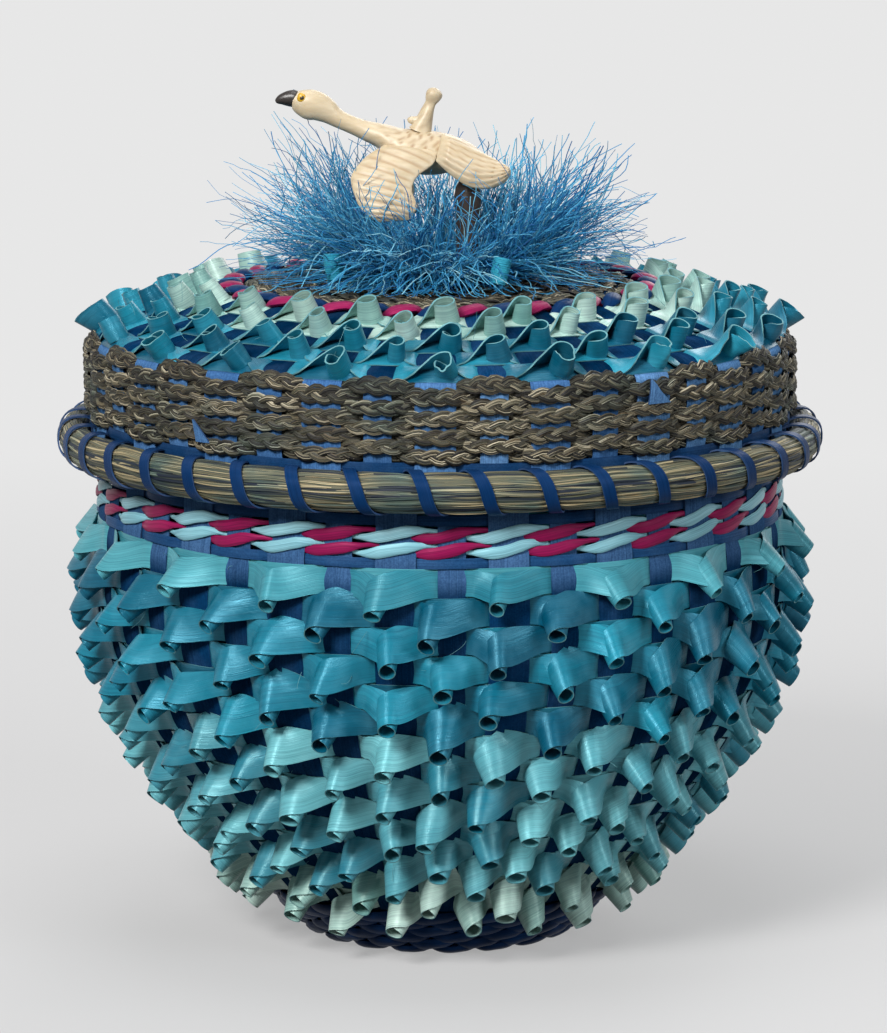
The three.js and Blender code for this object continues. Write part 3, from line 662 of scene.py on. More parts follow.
def make_materials():
    """Fills the table of finishes."""
    MATERIALS.update(
        # Stakes: the first pair of shades is painted shade for where they lie among the curls; the second,
        # lighter pair is how they look lit at the neck and on the side of the lid.
        stake=splint_material(
            "stake splint", seen(2, 32, 60), seen(10, 52, 92), 0.5, 0.08, 0.0,
            upper=(seen(36, 68, 108), seen(62, 96, 140)), speckle=0.5,
        ),
        lid_stake=splint_material(
            "lid stake splint", seen(2, 32, 60), seen(10, 52, 92), 0.5, 0.08, 0.0,
            upper=(seen(56, 96, 148), seen(92, 134, 184)), speckle=0.5,
        ),
        navy=splint_material("navy splint", seen(14, 48, 88), seen(38, 80, 126), 0.45, 0.1, 0.1, speckle=0.4),
        deep_navy=splint_material("deep navy splint", seen(2, 26, 58), seen(10, 46, 88), 0.4, 0.06, 0.1),
        top_teal=splint_material(
            "top row teal splint", seen(36, 120, 140), seen(88, 168, 180), 0.34, 0.12, 0.5
        ),
        teal=splint_material("teal splint", seen(2, 78, 104), seen(34, 138, 162), 0.3, 0.22, 0.55),
        pale_teal=splint_material(
            "pale teal splint", seen(18, 114, 138), seen(116, 190, 198), 0.3, 0.24, 0.6
        ),
        celadon=splint_material("celadon splint", seen(116, 168, 162), seen(190, 216, 206), 0.34, 0.12, 0.6),
        burgundy=splint_material("burgundy splint", seen(106, 8, 56), seen(160, 26, 88), 0.42, 0.04, 0.3),
        aqua=splint_material("aqua splint", seen(112, 178, 194), seen(170, 214, 224), 0.4),
        cut=cut_material("cut edge of a pale splint", seen(98, 156, 164)),
        dark_cut=cut_material("cut edge of a dark splint", seen(30, 66, 112)),
        braid=grass_material(
            "braided sweetgrass",
            [
                (0.0, seen(14, 14, 16)),
                (0.2, seen(44, 38, 32)),
                (0.36, seen(70, 68, 52)),
                (0.5, seen(58, 66, 66)),
                (0.62, seen(98, 80, 56)),
                (0.76, seen(84, 92, 80)),
                (0.88, seen(128, 116, 92)),
                (1.0, seen(184, 176, 154)),
            ],
            dyed=(0.45, 0.66, 0.8, 1),
        ),
        hoop=grass_material(
            "bundled sweetgrass",
            [
                (0.0, seen(10, 26, 44)),
                (0.2, seen(44, 52, 50)),
                (0.36, seen(92, 92, 68)),
                (0.5, seen(70, 88, 84)),
                (0.64, seen(128, 112, 82)),
                (0.8, seen(96, 110, 96)),
                (0.92, seen(154, 140, 106)),
                (1.0, seen(188, 174, 138)),
            ],
            fine_scale=4200,
            dyed=(0.32, 0.62, 0.9, 1),
        ),
        fringe=grass_material(
            "dyed fibre",
            [
                (0.0, seen(14, 92, 152)),
                (0.35, seen(38, 140, 196)),
                (0.7, seen(84, 178, 218)),
                (1.0, seen(160, 218, 236)),
            ],
            0.6,
        ),
        tie=splint_material("teal tie", seen(30, 130, 160), seen(60, 170, 196), 0.45),
        bone=bone_material(),
        beak=plain_material("dark beak", seen(34, 26, 22), 0.35),
        eye=plain_material("yellow eye", seen(214, 168, 40), 0.3),
        wood=plain_material("dark wood", seen(46, 34, 26), 0.55, 0.2 * MM, 700),
    )


class BASKET_OT_materials(bpy.types.Operator):
    """Make every finish."""

    bl_idname = "basket.materials"
    bl_label = "Finishes"

    def execute(self, context):
        make_materials()
        return {"FINISHED"}


# Sizes and colours that a user would change


def length(name, default, description):
    """A length that a user can set."""
    return bpy.props.FloatProperty(name=name, description=description, default=default, unit="LENGTH")


class BasketSizes(bpy.types.PropertyGroup):
    """Driving sizes of the fine surface; the frame gives the places that the model already has."""

    foot_radius: length(
        "Foot radius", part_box("base_disc")[1].x + 3 * MM, "Where the wall turns up from the flat base"
    )
    foot_height: length("Foot height", 4 * MM, "Height at which the wall starts")
    belly_radius: length("Belly radius", 86.1 * MM, "Radius of the stakes where the basket is widest")
    belly_height: length("Belly height", 92 * MM, "Height at which the basket is widest")
    collar_radius: length("Collar radius", 80.5 * MM, "Radius of the stakes at the top of the collar")
    collar_height: length("Collar height", 151.4 * MM, "Top of the collar that the lid covers")
    lid_radius: length("Lid radius", 86.5 * MM, "Radius of the stakes in the upright side of the lid")
    shoulder_height: length("Shoulder height", 151.0 * MM, "Height at which the dome of the lid turns down")
    dome_radius: length("Flat middle radius", 52 * MM, "Radius at which the dome starts to slope")
    lid_height: length("Lid height", 163 * MM, "Height of the stakes in the middle of the lid")
    narrow_stake: length("Narrow stake", 6.6 * MM, "Width of every second stake")
    wide_stake: length("Wide stake", 9.6 * MM, "Width of the stakes between the narrow ones")
    top_row_height: length("Top row", 103.15 * MM, "Height of the highest row of curls on the body")
    row_pitch: length("Row spacing", 6.95 * MM, "Distance between rows of curls, measured up the wall")
    fibre_length: length("Fringe length", 42 * MM, "Length of the loose fibres at the sides and back")


class BasketLight(bpy.types.PropertyGroup):
    """The plain studio round the basket."""

    floor_colour: bpy.props.FloatVectorProperty(
        name="Floor", description="Colour of the floor", subtype="COLOR",
        default=(0.5, 0.5, 0.51),
    )
    backdrop: bpy.props.FloatProperty(
        name="Backdrop", description="Brightness of the surroundings that the camera sees",
        default=0.8, min=0, max=1,
    )
    fill: bpy.props.FloatProperty(
        name="Fill", description="Brightness of the surroundings as a light",
        default=0.04, min=0,
    )


# Weaving


def stake_width(stake, radius, turn):
    """Stakes are narrow and wide in turn, and taper where they crowd together."""
    sizes = bpy.context.scene.basket_sizes
    narrow_parity = 0 if turn == BODY_TURN else 1
    full = np.where(np.asarray(stake) % 2 == narrow_parity, sizes.narrow_stake, sizes.wide_stake)
    return np.minimum(full, radius * full / sizes.lid_radius * 1.12)


def side_stakes(index):
    """The ten stakes of a side, counted from the front."""
    return np.arange(STAKES // 4) + (2 * index - 1) * STAKES // 8


def stake_ribbons(builder, line, turn, stakes, rows, steps=170):
    """Stakes as long splints that swing in and out of the rows, which are pairs of a distance and a phase."""
    stakes = np.asarray(stakes)[:, None, None]
    distance = np.linspace(STAKE_START, line.lengths[-1], steps)[None, :, None]
    across = np.linspace(-0.5, 0.5, 4)[None, None, :]
    radius = line.radius(distance)
    width = stake_width(stakes, radius, turn)
    drift = builder.rng.uniform(-0.25, 0.25, stakes.shape) * MM
    places, phases = zip(*sorted(rows))
    wave = -np.cos(math.pi * (np.interp(distance, places, phases) + stakes))
    cup = (0.25 - across**2) * 0.8 * MM
    out = STAKE_SWING * wave + cup - 0.1 * MM
    angle = stake_angle(stakes, turn) + (across * width + drift) / np.maximum(radius, 4 * MM)
    tone = builder.tones(len(stakes), 0.9)
    builder.ribbons(line.place(angle, distance, out), STAKE_THICKNESS, tone=tone)


def flat_weaver(
    builder, line, distance, width, turn, first_over, swing=BAND_SWING, thickness=BAND_THICKNESS
):
    """A ring that passes over every second stake and under the others."""
    count = SEAM + np.arange(STAKES * 8) / 8
    angle = stake_angle(count, turn)
    over = np.cos(math.pi * (count - first_over))
    out = swing * np.tanh(2.2 * over) / math.tanh(2.2)
    wander = ripple(builder.rng, angle, (3, 7, 11), 0.12 * MM)
    across = np.linspace(-0.5, 0.5, 4)
    grid = line.place(
        angle[:, None],
        distance + wander[:, None] + across * width,
        out[:, None] + (0.25 - across**2) * 0.5 * MM,
    )
    builder.ribbons(grid[None], thickness, closed=True)


def twined_strand(
    builder, line, distance, turn, first_over, width, depth, rise, swing, group=1, blunt=0.0
):
    """One strand of a twined pair: it climbs to the right over a group of stakes, then goes behind the next.

    A blunt strand is widest at its left end, where it comes out from behind a stake.
    """
    count = SEAM + np.arange(STAKES * 14) / 14
    phase = math.pi * (count / group - first_over)
    angle = stake_angle(count + (group - 1) / 2, turn)
    along = -np.sin(phase) * rise * line_way(line, distance)
    out = swing * np.tanh(1.6 * np.cos(phase)) + 0.2 * MM
    rng = builder.rng
    along = along + ripple(rng, angle, (20, 31, 47), 0.14 * MM)
    centre = line.place(angle, distance + along, out)
    normal = line.place(angle, distance + along, out + 1 * MM) - centre
    plump = 0.6 + 0.4 * np.clip(1.4 * np.cos(phase + blunt), -0.4, 1) + ripple(rng, angle, (13, 29, 41), 0.05)
    half_width = width / 2 * plump
    half_depth = depth / 2 * (0.6 + 0.4 * plump)
    builder.strands(centre[None], normal[None], half_width[None], half_depth[None], sides=10, closed=True)


def line_way(line, distance):
    """1 where the line runs down at a distance, and -1 where it runs up."""
    return 1.0 if line.height(distance + 1 * MM) < line.height(distance) else -1.0


def braid(builder, line, distance, turn, first_over, size=1.0, swing=1.2 * MM, steps=420):
    """A three-strand grass braid that passes over every second stake and under the others."""
    radius = float(line.radius(distance))
    share = np.arange(steps) / steps
    angle = share * 2 * math.pi + stake_angle(SEAM, turn)
    over = np.tanh(1.6 * np.cos(math.pi * (share * STAKES + SEAM - first_over)))
    rng = builder.rng
    out = swing * over + 0.4 * MM + ripple(rng, angle, (5, 9, 17), 0.16 * MM)
    middle = distance + ripple(rng, angle, (3, 8, 20), 0.16 * MM)
    turns = round(2 * math.pi * radius / BRAID_PERIOD)
    slip = ripple(rng, angle, (2, 5, 9), 0.5)
    plump = size * (1.08 + 0.2 * over + ripple(rng, angle, (7, 15, 26), 0.06))
    for strand in range(3):
        phase = turns * share * 2 * math.pi + slip + strand * 2 * math.pi / 3
        side = np.sin(phase) * 0.84 * MM * plump
        lift = np.sin(2 * phase) * 0.34 * MM
        for blade in range(BRAID_BLADES):
            lie = (blade + 0.5) / BRAID_BLADES * 2 - 1 + ripple(rng, angle, (9, 16), 0.16)
            along = middle + side + 0.62 * MM * plump * lie
            height = out + lift + 0.26 * MM * plump * (1 - lie**2) + rng.uniform(-0.05, 0.05) * MM
            centre = line.place(angle, along, height)
            normal = line.place(angle, along, height + 1 * MM) - centre
            half = rng.uniform(0.2, 0.3) * MM * plump
            halves = half[None], (half * 0.7)[None]
            builder.strands(centre[None], normal[None], *halves, sides=4, closed=True)


# Curls


class CurlShape(NamedTuple):
    """The size and lie of one curl: a splint that turns once about a narrow cone that stands out of the row.

    Angles are in degrees. The leaves say how far round the cone its two ends leave it, at its tip and at its
    base.
    """

    tip_radius: float
    taper: float
    lean: float
    mirror: int
    shift: float
    length: float
    width: float
    sink: float
    thickness: float
    leaves: tuple
    pitch_down: float = 0.0
    edge: float = 0.0
    squash: float = 0.0

    def varied(self, rng, tilt, edge):
        """The same curl as a hand would make it another time, with its tilt from the wall's normal."""
        return self._replace(
            tip_radius=self.tip_radius * rng.uniform(0.85, 1.15),
            taper=self.taper * rng.uniform(0.75, 1.25),
            pitch_down=tilt + rng.uniform(-8, 8),
            lean=self.lean + rng.uniform(-11, 11),
            shift=self.shift + rng.uniform(-1.1, 1.1) * MM,
            length=self.length * rng.uniform(0.86, 1.1),
            width=self.width * rng.uniform(0.95, 1.05),
            edge=edge,
            squash=rng.uniform(-0.14, 0.14),
        )


BODY_CURL = CurlShape(
    tip_radius=1.75 * MM, taper=0.17, lean=-4, mirror=1, shift=-2.5 * MM, length=9.2 * MM, width=6.3 * MM,
    sink=0, thickness=0.24 * MM, leaves=((226, 192), (206, 172)),
)
LID_CURL = CurlShape(
    tip_radius=1.95 * MM, taper=0.13, lean=-4, mirror=-1, shift=-2.6 * MM, length=6.5 * MM, width=5.9 * MM,
    sink=3.2 * MM, thickness=0.36 * MM, leaves=((214, 178), (210, 160)),
)


def hermite(start, start_way, end, end_way, shares):
    """A smooth curve between two points with a given way at each."""
    u = shares[:, None, None]
    return (
        (2 * u**3 - 3 * u**2 + 1) * start
        + (u**3 - 2 * u**2 + u) * start_way
        + (3 * u**2 - 2 * u**3) * end
        + (u**3 - u**2) * end_way
    )


def curl_line(rows, x, z):
    """A line across the splint where it lies flat."""
    return np.stack([np.full_like(rows, x), rows, np.full_like(rows, z)], 1)


def curl_grid(shape, pitch, across=5, loop_steps=30, leg_steps=7):
    """Points of one curl: steps along, lines across, 3. Its x runs along the row, y up the stake, z out."""
    sine = shape.taper
    cosine = math.sqrt(1 - sine**2)
    tilt, lean = math.radians(shape.pitch_down), math.radians(shape.lean)
    to_apex = shape.tip_radius / sine
    axis = unit([math.sin(lean), -math.sin(tilt), math.cos(tilt)])
    side = unit(np.cross([0, 1, 0], axis))
    top = np.cross(axis, side)
    tip = np.array([shape.shift * shape.mirror, 0, 0]) + axis * shape.length
    apex = tip + axis * to_apex * cosine

    # both ends wind past half a turn, so that the upper one laps over the lower one
    share = np.linspace(0, 1, across + 1)
    height = share * shape.width
    ends_down = shape.sink * np.clip(np.linspace(-1.6, 1, loop_steps + 1)[:, None], 0, 1) ** 1.5
    (start_tip, end_tip), (start_base, end_base) = shape.leaves
    starts = np.radians(start_tip + (start_base - start_tip) * share)
    ends = np.radians(end_tip + (end_base - end_tip) * share)
    turn = -starts + (starts + ends) * np.linspace(0, 1, loop_steps + 1)[:, None]
    reach = to_apex + height
    slant = reach + reach * (1 / np.cos(turn * sine) - 1) * (0.4 + 0.6 * share)
    away = slant * sine - 0.11 * MM * turn
    down = -np.cos(turn) * (1 - shape.squash)
    over = np.sin(turn) * (1 + shape.squash) * shape.mirror
    loop = (
        apex
        - axis * (slant * cosine + ends_down)[..., None]
        + away[..., None] * (down[..., None] * top + over[..., None] * side)
    )

    rows = (share - 0.5) * shape.width
    parts = []
    for start, inner, sign in ((loop[0], loop[1], shape.mirror), (loop[-1], loop[-2], -shape.mirror)):
        way = unit(start - inner)
        flat = curl_line(rows, sign * (shape.edge - 0.9 * MM), 0.3 * MM)
        gap = np.linalg.norm(flat - start, axis=1, keepdims=True)
        leg_shares = np.linspace(0, 1, leg_steps + 1)[1:]
        leg = hermite(start, way * gap * 0.7, flat, np.array([sign, 0, 0]) * gap * 0.6, leg_shares)
        above = leg[..., 2] - 0.4 * MM
        leg[..., 2] = 0.4 * MM + 0.5 * (above + np.sqrt(above**2 + (0.5 * MM) ** 2))
        places = (shape.edge - 0.2 * MM, 0.2 * MM), (shape.edge + 0.5 * MM, -0.2 * MM), (pitch, -0.3 * MM)
        tail = [curl_line(rows, sign * x, z) for x, z in places]
        parts.append(np.concatenate([leg, tail]))
    return np.concatenate([parts[0][::-1], loop, parts[1]])


def hairs(builder, line, distance, count):
    """Fine fibres that have frayed off the splints of a row."""
    rng = builder.rng
    share = np.linspace(0, 1, 8)[:, None]
    for turn in rng.uniform(0, 2 * math.pi, count):
        start = line.place(turn, distance + rng.uniform(-3, 3) * MM, rng.uniform(1, 3) * MM)
        way = line.place(turn, distance, 1 * MM) - line.place(turn, distance, 0)
        way = way * rng.uniform(0.5, 2.5) + rng.normal(0, 2, 3) * MM
        bend = rng.normal(0, 1.2, 3) * MM
        centre = start + way * share + bend * share**2
        builder.strands(centre[None], UP, 0.06 * MM, 0.05 * MM, sides=3, finish=1)


def curl_row(builder, line, distance, spacing, turn, first_over, shape, way_down):
    """A ground weaver with a curl over every second stake that points way_down degrees below level."""
    flat_weaver(builder, line, distance, spacing * 0.985, turn, first_over, CURLED_SWING, CURLED_THICKNESS)
    radius = float(line.radius(distance))
    pitch = radius * STEP
    up = -line_way(line, distance)
    normal_r = np.interp(distance, line.lengths, line.normal_r)
    normal_z = np.interp(distance, line.lengths, line.normal_z)
    tilt = way_down - math.degrees(math.atan2(-normal_z, normal_r))
    rng = builder.rng
    grids = []
    for stake in range(first_over, STAKES, 2):
        half = float(stake_width(stake + 1, radius, turn)) / 2
        grid = curl_grid(shape.varied(rng, tilt, pitch - half), pitch)
        angle = stake_angle(stake, turn) + (grid[..., 0] + rng.uniform(-0.5, 0.5) * MM) / radius
        nudge = rng.uniform(-0.3, 0.3) * MM
        grids.append(line.place(angle, distance + up * (grid[..., 1] + nudge), grid[..., 2]))
    builder.ribbons(np.array(grids), shape.thickness)
    hairs(builder, line, distance, HAIRS)


def body_rows(line):
    """The rows of curls on the body from the top one down: distance, and which stakes they pass over."""
    sizes = bpy.context.scene.basket_sizes
    top = line.at_height(sizes.top_row_height, sizes.foot_radius)
    return [(top - row * sizes.row_pitch, row + 1) for row in range(BODY_ROWS)]


def lid_rows(line):
    """The rows of curls on the lid from the outer one in."""
    shoulder = line.at_radius(LID_ROW_RADII[0], DOME_END)
    inner = line.at_radius(LID_ROW_RADII[1], DOME_END)
    return [(shoulder + (inner - shoulder) * row / (LID_ROWS - 1), row) for row in range(LID_ROWS)]


# The body


class BASKET_OT_body_stakes(bpy.types.Operator):
    """Build the stakes of the body in four side groups."""

    bl_idname = "basket.body_stakes"
    bl_label = "Body stakes"

    def execute(self, context):
        line = body_line()
        rows = [(0.0, BODY_ROWS + 2)] + body_rows(line)
        for index, height in enumerate(NECK_WEAVERS.values()):
            rows.append((line.at_height(height, BASE_END), -2 * index))
        for index, side in enumerate(SIDES):
            builder = Builder(f"stakes_{side}", 100 + index)
            stake_ribbons(builder, line, BODY_TURN, side_stakes(index), rows)
            builder.build("basket", ["stake", "dark_cut"], f"body_stakes_{side}")
        return {"FINISHED"}


class BASKET_OT_body_curls(bpy.types.Operator):
    """Build the rows of curls on the body."""

    bl_idname = "basket.body_curls"
    bl_label = "Body curls"

    def execute(self, context):
        line = body_line()
        sizes = context.scene.basket_sizes
        for row, (distance, parity) in enumerate(body_rows(line)):
            builder = Builder(f"curl_row_{row + 1}", 200 + row)
            way = np.interp(row, (0, BODY_ROWS - 1), BODY_CURL_WAY)
            taper = BODY_CURL.taper * np.interp(row, (0, BODY_ROWS - 1), (1, LOW_TAPER))
            shape = BODY_CURL._replace(taper=taper)
            curl_row(builder, line, distance, sizes.row_pitch, BODY_TURN, parity % 2, shape, way)
            builder.build("basket", [BODY_FINISHES[row], "cut"], f"body_curl_row_{row + 1:02d}")
        return {"FINISHED"}


class BASKET_OT_neck(bpy.types.Operator):
    """Build the weavers and twined pairs round the neck."""

    bl_idname = "basket.neck"
    bl_label = "Neck"

    def execute(self, context):
        line = body_line()
        for index, (name, height) in enumerate(NECK_WEAVERS.items()):
            builder = Builder(f"neck_weaver_{name}", 300 + index)
            distance = line.at_height(height, BASE_END)
            flat_weaver(builder, line, distance, NECK_WEAVER_WIDTH, BODY_TURN, 0)
            builder.build("basket", ["navy", "dark_cut"], f"neck_weaver_{name}")
        for index, (name, height) in enumerate(NECK_TWINES.items()):
            distance = line.at_height(height, BASE_END)
            for first_over, (colour, blunt) in enumerate((("burgundy", 0.5), ("aqua", 0.1))):
                builder = Builder(f"neck_twine_{name}_{colour}", 310 + 2 * index + first_over)
                twined_strand(builder, line, distance, BODY_TURN, first_over, **NECK_TWINE, blunt=blunt)
                builder.build("basket", [colour], f"neck_twine_{name}_{colour}")
        return {"FINISHED"}


class BASKET_OT_foot(bpy.types.Operator):
    """Build the twining round the foot."""

    bl_idname = "basket.foot"
    bl_label = "Foot"

    def execute(self, context):
        line = body_line()
        corner = line.at_radius(context.scene.basket_sizes.foot_radius - 2 * MM, FOOT_END)
        for band in range(FOOT_NODES):
            builder = Builder(f"foot_twine_{band + 1}", 330 + band)
            for row in range(FOOT_ROWS):
                if row * FOOT_NODES // FOOT_ROWS != band:
                    continue
                distance = corner + FOOT_START + row * FOOT_PITCH
                for first_over in (0, 1):
                    start = first_over + row * 0.5
                    twined_strand(builder, line, distance, BODY_TURN, start, **FOOT_TWINE, group=2)
            builder.build("basket", ["deep_navy"], f"foot_twine_{band + 1}")
        return {"FINISHED"}


class BASKET_OT_base(bpy.types.Operator):
    """Build the woven base."""

    bl_idname = "basket.base"
    bl_label = "Base"

    def execute(self, context):
        builder = Builder("woven_base", 340)
        line = body_line()
        for ring in range(BASE_RINGS):
            distance = BASE_START + BASE_PITCH * ring
            flat_weaver(builder, line, distance, BASE_WIDTH, BODY_TURN, ring % 2, swing=0.45 * MM)
        builder.build("basket", ["stake", "dark_cut"], "base_disc")
        return {"FINISHED"}


class BASKET_OT_collar(bpy.types.Operator):
    """Build the hoops of the collar."""

    bl_idname = "basket.collar"
    bl_label = "Collar"

    def execute(self, context):
        line = body_line()
        for name, offset in COLLAR_HOOPS.items():
            builder = Builder(f"collar_hoop_{name}", 350)
            low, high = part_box(f"collar_hoop_{name}")
            across = np.linspace(low.z, high.z, 4)
            distance = np.array([line.at_height(float(height), BASE_END) for height in across])
            grid = line.place(circle(160)[:, None], distance, offset)
            builder.ribbons(grid[None], HOOP_THICKNESS, closed=True)
            builder.build("basket", ["navy", "dark_cut"], f"collar_hoop_{name}")
        return {"FINISHED"}


# The lid


def splint_tip(builder, line, angle, low, high, width):
    """The slanting end of a stake that lies over the braids on the side of the lid, between two heights."""
    share = np.linspace(0, 1, 6)[:, None]
    across = np.linspace(0, 1, 4)
    distance = side_distance(line, low + (high - low) * share)
    turn = angle + across * (1 - 0.94 * share) * width / line.radius(distance)
    builder.ribbons(line.place(turn, distance, (2.4 + 1.3 * share) * MM)[None], STAKE_THICKNESS)


class BASKET_OT_lid_stakes(bpy.types.Operator):
    """Build the stakes of the lid in four side groups."""

    bl_idname = "basket.lid_stakes"
    bl_label = "Lid stakes"

    def execute(self, context):
        line = lid_line()
        rows = [(0.0, LID_ROWS + 1)] + lid_rows(line)
        for row in range(BRAID_ROWS):
            rows.append((side_distance(line, TOP_BRAID - row * BRAID_PITCH), -row - 1))
        rows.append((side_distance(line, LID_WEAVER_HEIGHT), -BRAID_ROWS - 1))
        for index, side in enumerate(SIDES):
            builder = Builder(f"lid_stakes_{side}", 400 + index)
            stake_ribbons(builder, line, LID_TURN, side_stakes(index), rows)
            if side == "front":
                for angle, low, high, width in STAKE_TIPS:
                    splint_tip(builder, line, FRONT + math.radians(angle), low, high, width)
            builder.build("lid", ["lid_stake", "dark_cut"], f"lid_stakes_{side}")
        return {"FINISHED"}


class BASKET_OT_lid_curls(bpy.types.Operator):
    """Build the rows of curls on the lid."""

    bl_idname = "basket.lid_curls"
    bl_label = "Lid curls"

    def execute(self, context):
        line = lid_line()
        rows = lid_rows(line)
        spacing = rows[0][0] - rows[1][0]
        for row, (distance, parity) in enumerate(rows):
            builder = Builder(f"lid_curl_row_{row + 1}", 420 + row)
            way = np.interp(row, (0, LID_ROWS - 1), LID_CURL_WAY)
            curl_row(builder, line, distance, spacing, LID_TURN, parity % 2, LID_CURL, way)
            finish = LID_FINISHES[row]
            builder.build("lid", [finish, "cut"], f"lid_curl_row_{row + 1}")
        return {"FINISHED"}


class BASKET_OT_lid_ring(bpy.types.Operator):
    """Build the twined ring and the braided middle."""

    bl_idname = "basket.lid_ring"
    bl_label = "Middle of the lid"

    def execute(self, context):
        line = lid_line()
        distance = line.at_radius(context.scene.basket_sizes.dome_radius, DOME_END)
        for first_over, (colour, finish) in enumerate((("navy", "deep_navy"), ("burgundy", "burgundy"))):
            builder = Builder(f"lid_twine_{colour}", 430 + first_over)
            twined_strand(builder, line, distance, LID_TURN, first_over, **LID_TWINE)
            builder.build("lid", [finish], f"lid_twine_{colour}")
        builder = Builder("centre_braid", 440)
        for ring in range(CENTRE_BRAIDS):
            distance = line.at_radius(CENTRE_RADIUS - CENTRE_PITCH * ring, DOME_END)
            braid(builder, line, distance, LID_TURN, ring % 2, 1.25, 0.3 * MM, steps=300)
        builder.build("lid", ["braid"], "lid_centre_braid")
        return {"FINISHED"}


def side_distance(line, height):
    """The distance along the lid's line at a height on its upright side."""
    return line.lengths[-1] - (height - line.heights[-1])


class BASKET_OT_lid_side(bpy.types.Operator):
    """Build the braids and the weaver round the side."""

    bl_idname = "basket.lid_side"
    bl_label = "Side of the lid"

    def execute(self, context):
        line = lid_line()
        for band in range(BRAID_NODES):
            builder = Builder(f"lid_braid_{band + 1}", 450 + band)
            for row in range(BRAID_ROWS):
                if row * BRAID_NODES // BRAID_ROWS == band:
                    distance = side_distance(line, TOP_BRAID - row * BRAID_PITCH)
                    braid(builder, line, distance, LID_TURN, (row + 1) % 2)
            builder.build("lid", ["braid"], f"lid_braid_{band + 1}")
        builder = Builder("lid_weaver", 460)
        flat_weaver(builder, line, side_distance(line, LID_WEAVER_HEIGHT), LID_WEAVER_WIDTH, LID_TURN, 1)
        builder.build("lid", ["navy", "dark_cut"], "lid_weaver")
        return {"FINISHED"}


def round_place(angle, radius, height):
    """Points about the axis of the basket."""
    angle, radius, height = np.broadcast_arrays(angle, radius, height)
    return np.stack([radius * np.cos(angle), radius * np.sin(angle), height], -1)


def lashing_advance(share):
    """How many stakes the lashing has gone round the rim, at a share of its turn over the bundle."""
    return np.interp(share, (0, 0.2, 0.4, 0.7, 1), (0, 0.16, 0.32, 0.7, 1))


class BASKET_OT_hoop(bpy.types.Operator):
    """Build the grass bundle and the inner hoop of the rim."""

    bl_idname = "basket.hoop"
    bl_label = "Rim hoops"

    def execute(self, context):
        builder = Builder("rim_bundle", 500)
        rng = builder.rng
        steps = STAKES * 10
        angle = stake_angle(SEAM, LID_TURN) + circle(steps)
        core = round_place(angle, HOOP_RADIUS, HOOP_HEIGHT)
        builder.strands(core[None], UP, HOOP_HALF[0] * 0.86, HOOP_HALF[1] * 0.88, 20, True, 0.15)
        for blade in range(HOOP_BLADES):
            wander = rng.uniform(0.04, 0.14)
            clock = blade / HOOP_BLADES * 2 * math.pi + ripple(rng, angle, (3, 7, 13, 23), wander)
            share = (0.25 - clock / (2 * math.pi)) % 1
            turns = (angle - stake_angle(0, LID_TURN)) / STEP - LASHING_START - lashing_advance(share)
            pinch = np.exp(-(((turns + 0.5) % 1 - 0.5) / 0.16) ** 2)
            size = rng.uniform(0.93, 1.03) + ripple(rng, angle, (11, 17, 31), 0.02) - 0.1 * pinch
            radius = HOOP_RADIUS + HOOP_HALF[0] * size * np.cos(clock)
            centre = round_place(angle, radius, HOOP_HEIGHT + HOOP_HALF[1] * size * np.sin(clock))
            half = rng.uniform(0.34, 0.62) * MM
            builder.strands(centre[None], (centre - core)[None], half, half * 0.6, 5, True)
        builder.build("lid", ["hoop"], "lid_hoop_outer")

        builder = Builder("inner_rim_hoop", 510)
        low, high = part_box("lid_hoop_inner")
        across = np.linspace(low.z, high.z, 4)
        grid = round_place(angle[::3, None], high.x - HOOP_THICKNESS / 2, across)
        builder.ribbons(grid[None], HOOP_THICKNESS, closed=True)
        builder.build("lid", ["navy", "dark_cut"], "lid_hoop_inner")
        return {"FINISHED"}


def squared(wave):
    """A sine or cosine that is a little fuller, so that an oval made of it is a little squarer."""
    return np.sign(wave) * np.abs(wave) ** (2 / 2.4)


class BASKET_OT_lashing(bpy.types.Operator):
    """Build the splint that lashes the rim."""

    bl_idname = "basket.lashing"
    bl_label = "Rim lashing"

    def execute(self, context):
        builder = Builder("rim_lashing", 520)
        steps = 30
        share = np.tile(np.arange(steps) / steps, STAKES)
        turns = np.repeat(np.arange(STAKES) + SEAM, steps)
        clock = math.pi / 2 - share * 2 * math.pi
        radius = LASHING_RADIUS + LASHING_HALF[0] * squared(np.cos(clock))
        height = HOOP_HEIGHT + LASHING_HALF[1] * squared(np.sin(clock))
        nudges = builder.rng.uniform(-0.06, 0.06, STAKES)
        wobble = np.interp(np.arange(len(share)) / steps, np.arange(STAKES), nudges, period=STAKES)
        angle = stake_angle(turns + LASHING_START + lashing_advance(share) + wobble, LID_TURN)
        across = np.linspace(-0.5, 0.5, 5)
        turn = angle[:, None] + across * LASHING_WIDTH / radius[:, None]
        grid = round_place(turn, radius[:, None], height[:, None])
        builder.ribbons(grid[None], STAKE_THICKNESS, closed=True)
        builder.build("lid", ["deep_navy", "dark_cut"], "lid_hoop_lashing")
        return {"FINISHED"}


# The fringe


class Tuft(NamedTuple):
    """A tuft of the fringe: where it faces, how steep its fibres are, and how long, many and slack."""

    facing: float
    rises: tuple
    length: float
    count: int
    droop: float


TUFTS = {
    "right": Tuft(0, (2, 66), 1.08, 680, 0.01),
    "back": Tuft(90, (10, 76), 1.0, 640, 0.01),
    "left": Tuft(180, (4, 64), 1.1, 760, 0.01),
    "front": Tuft(270, (-6, 70), 0.8, 820, 0.04),
}


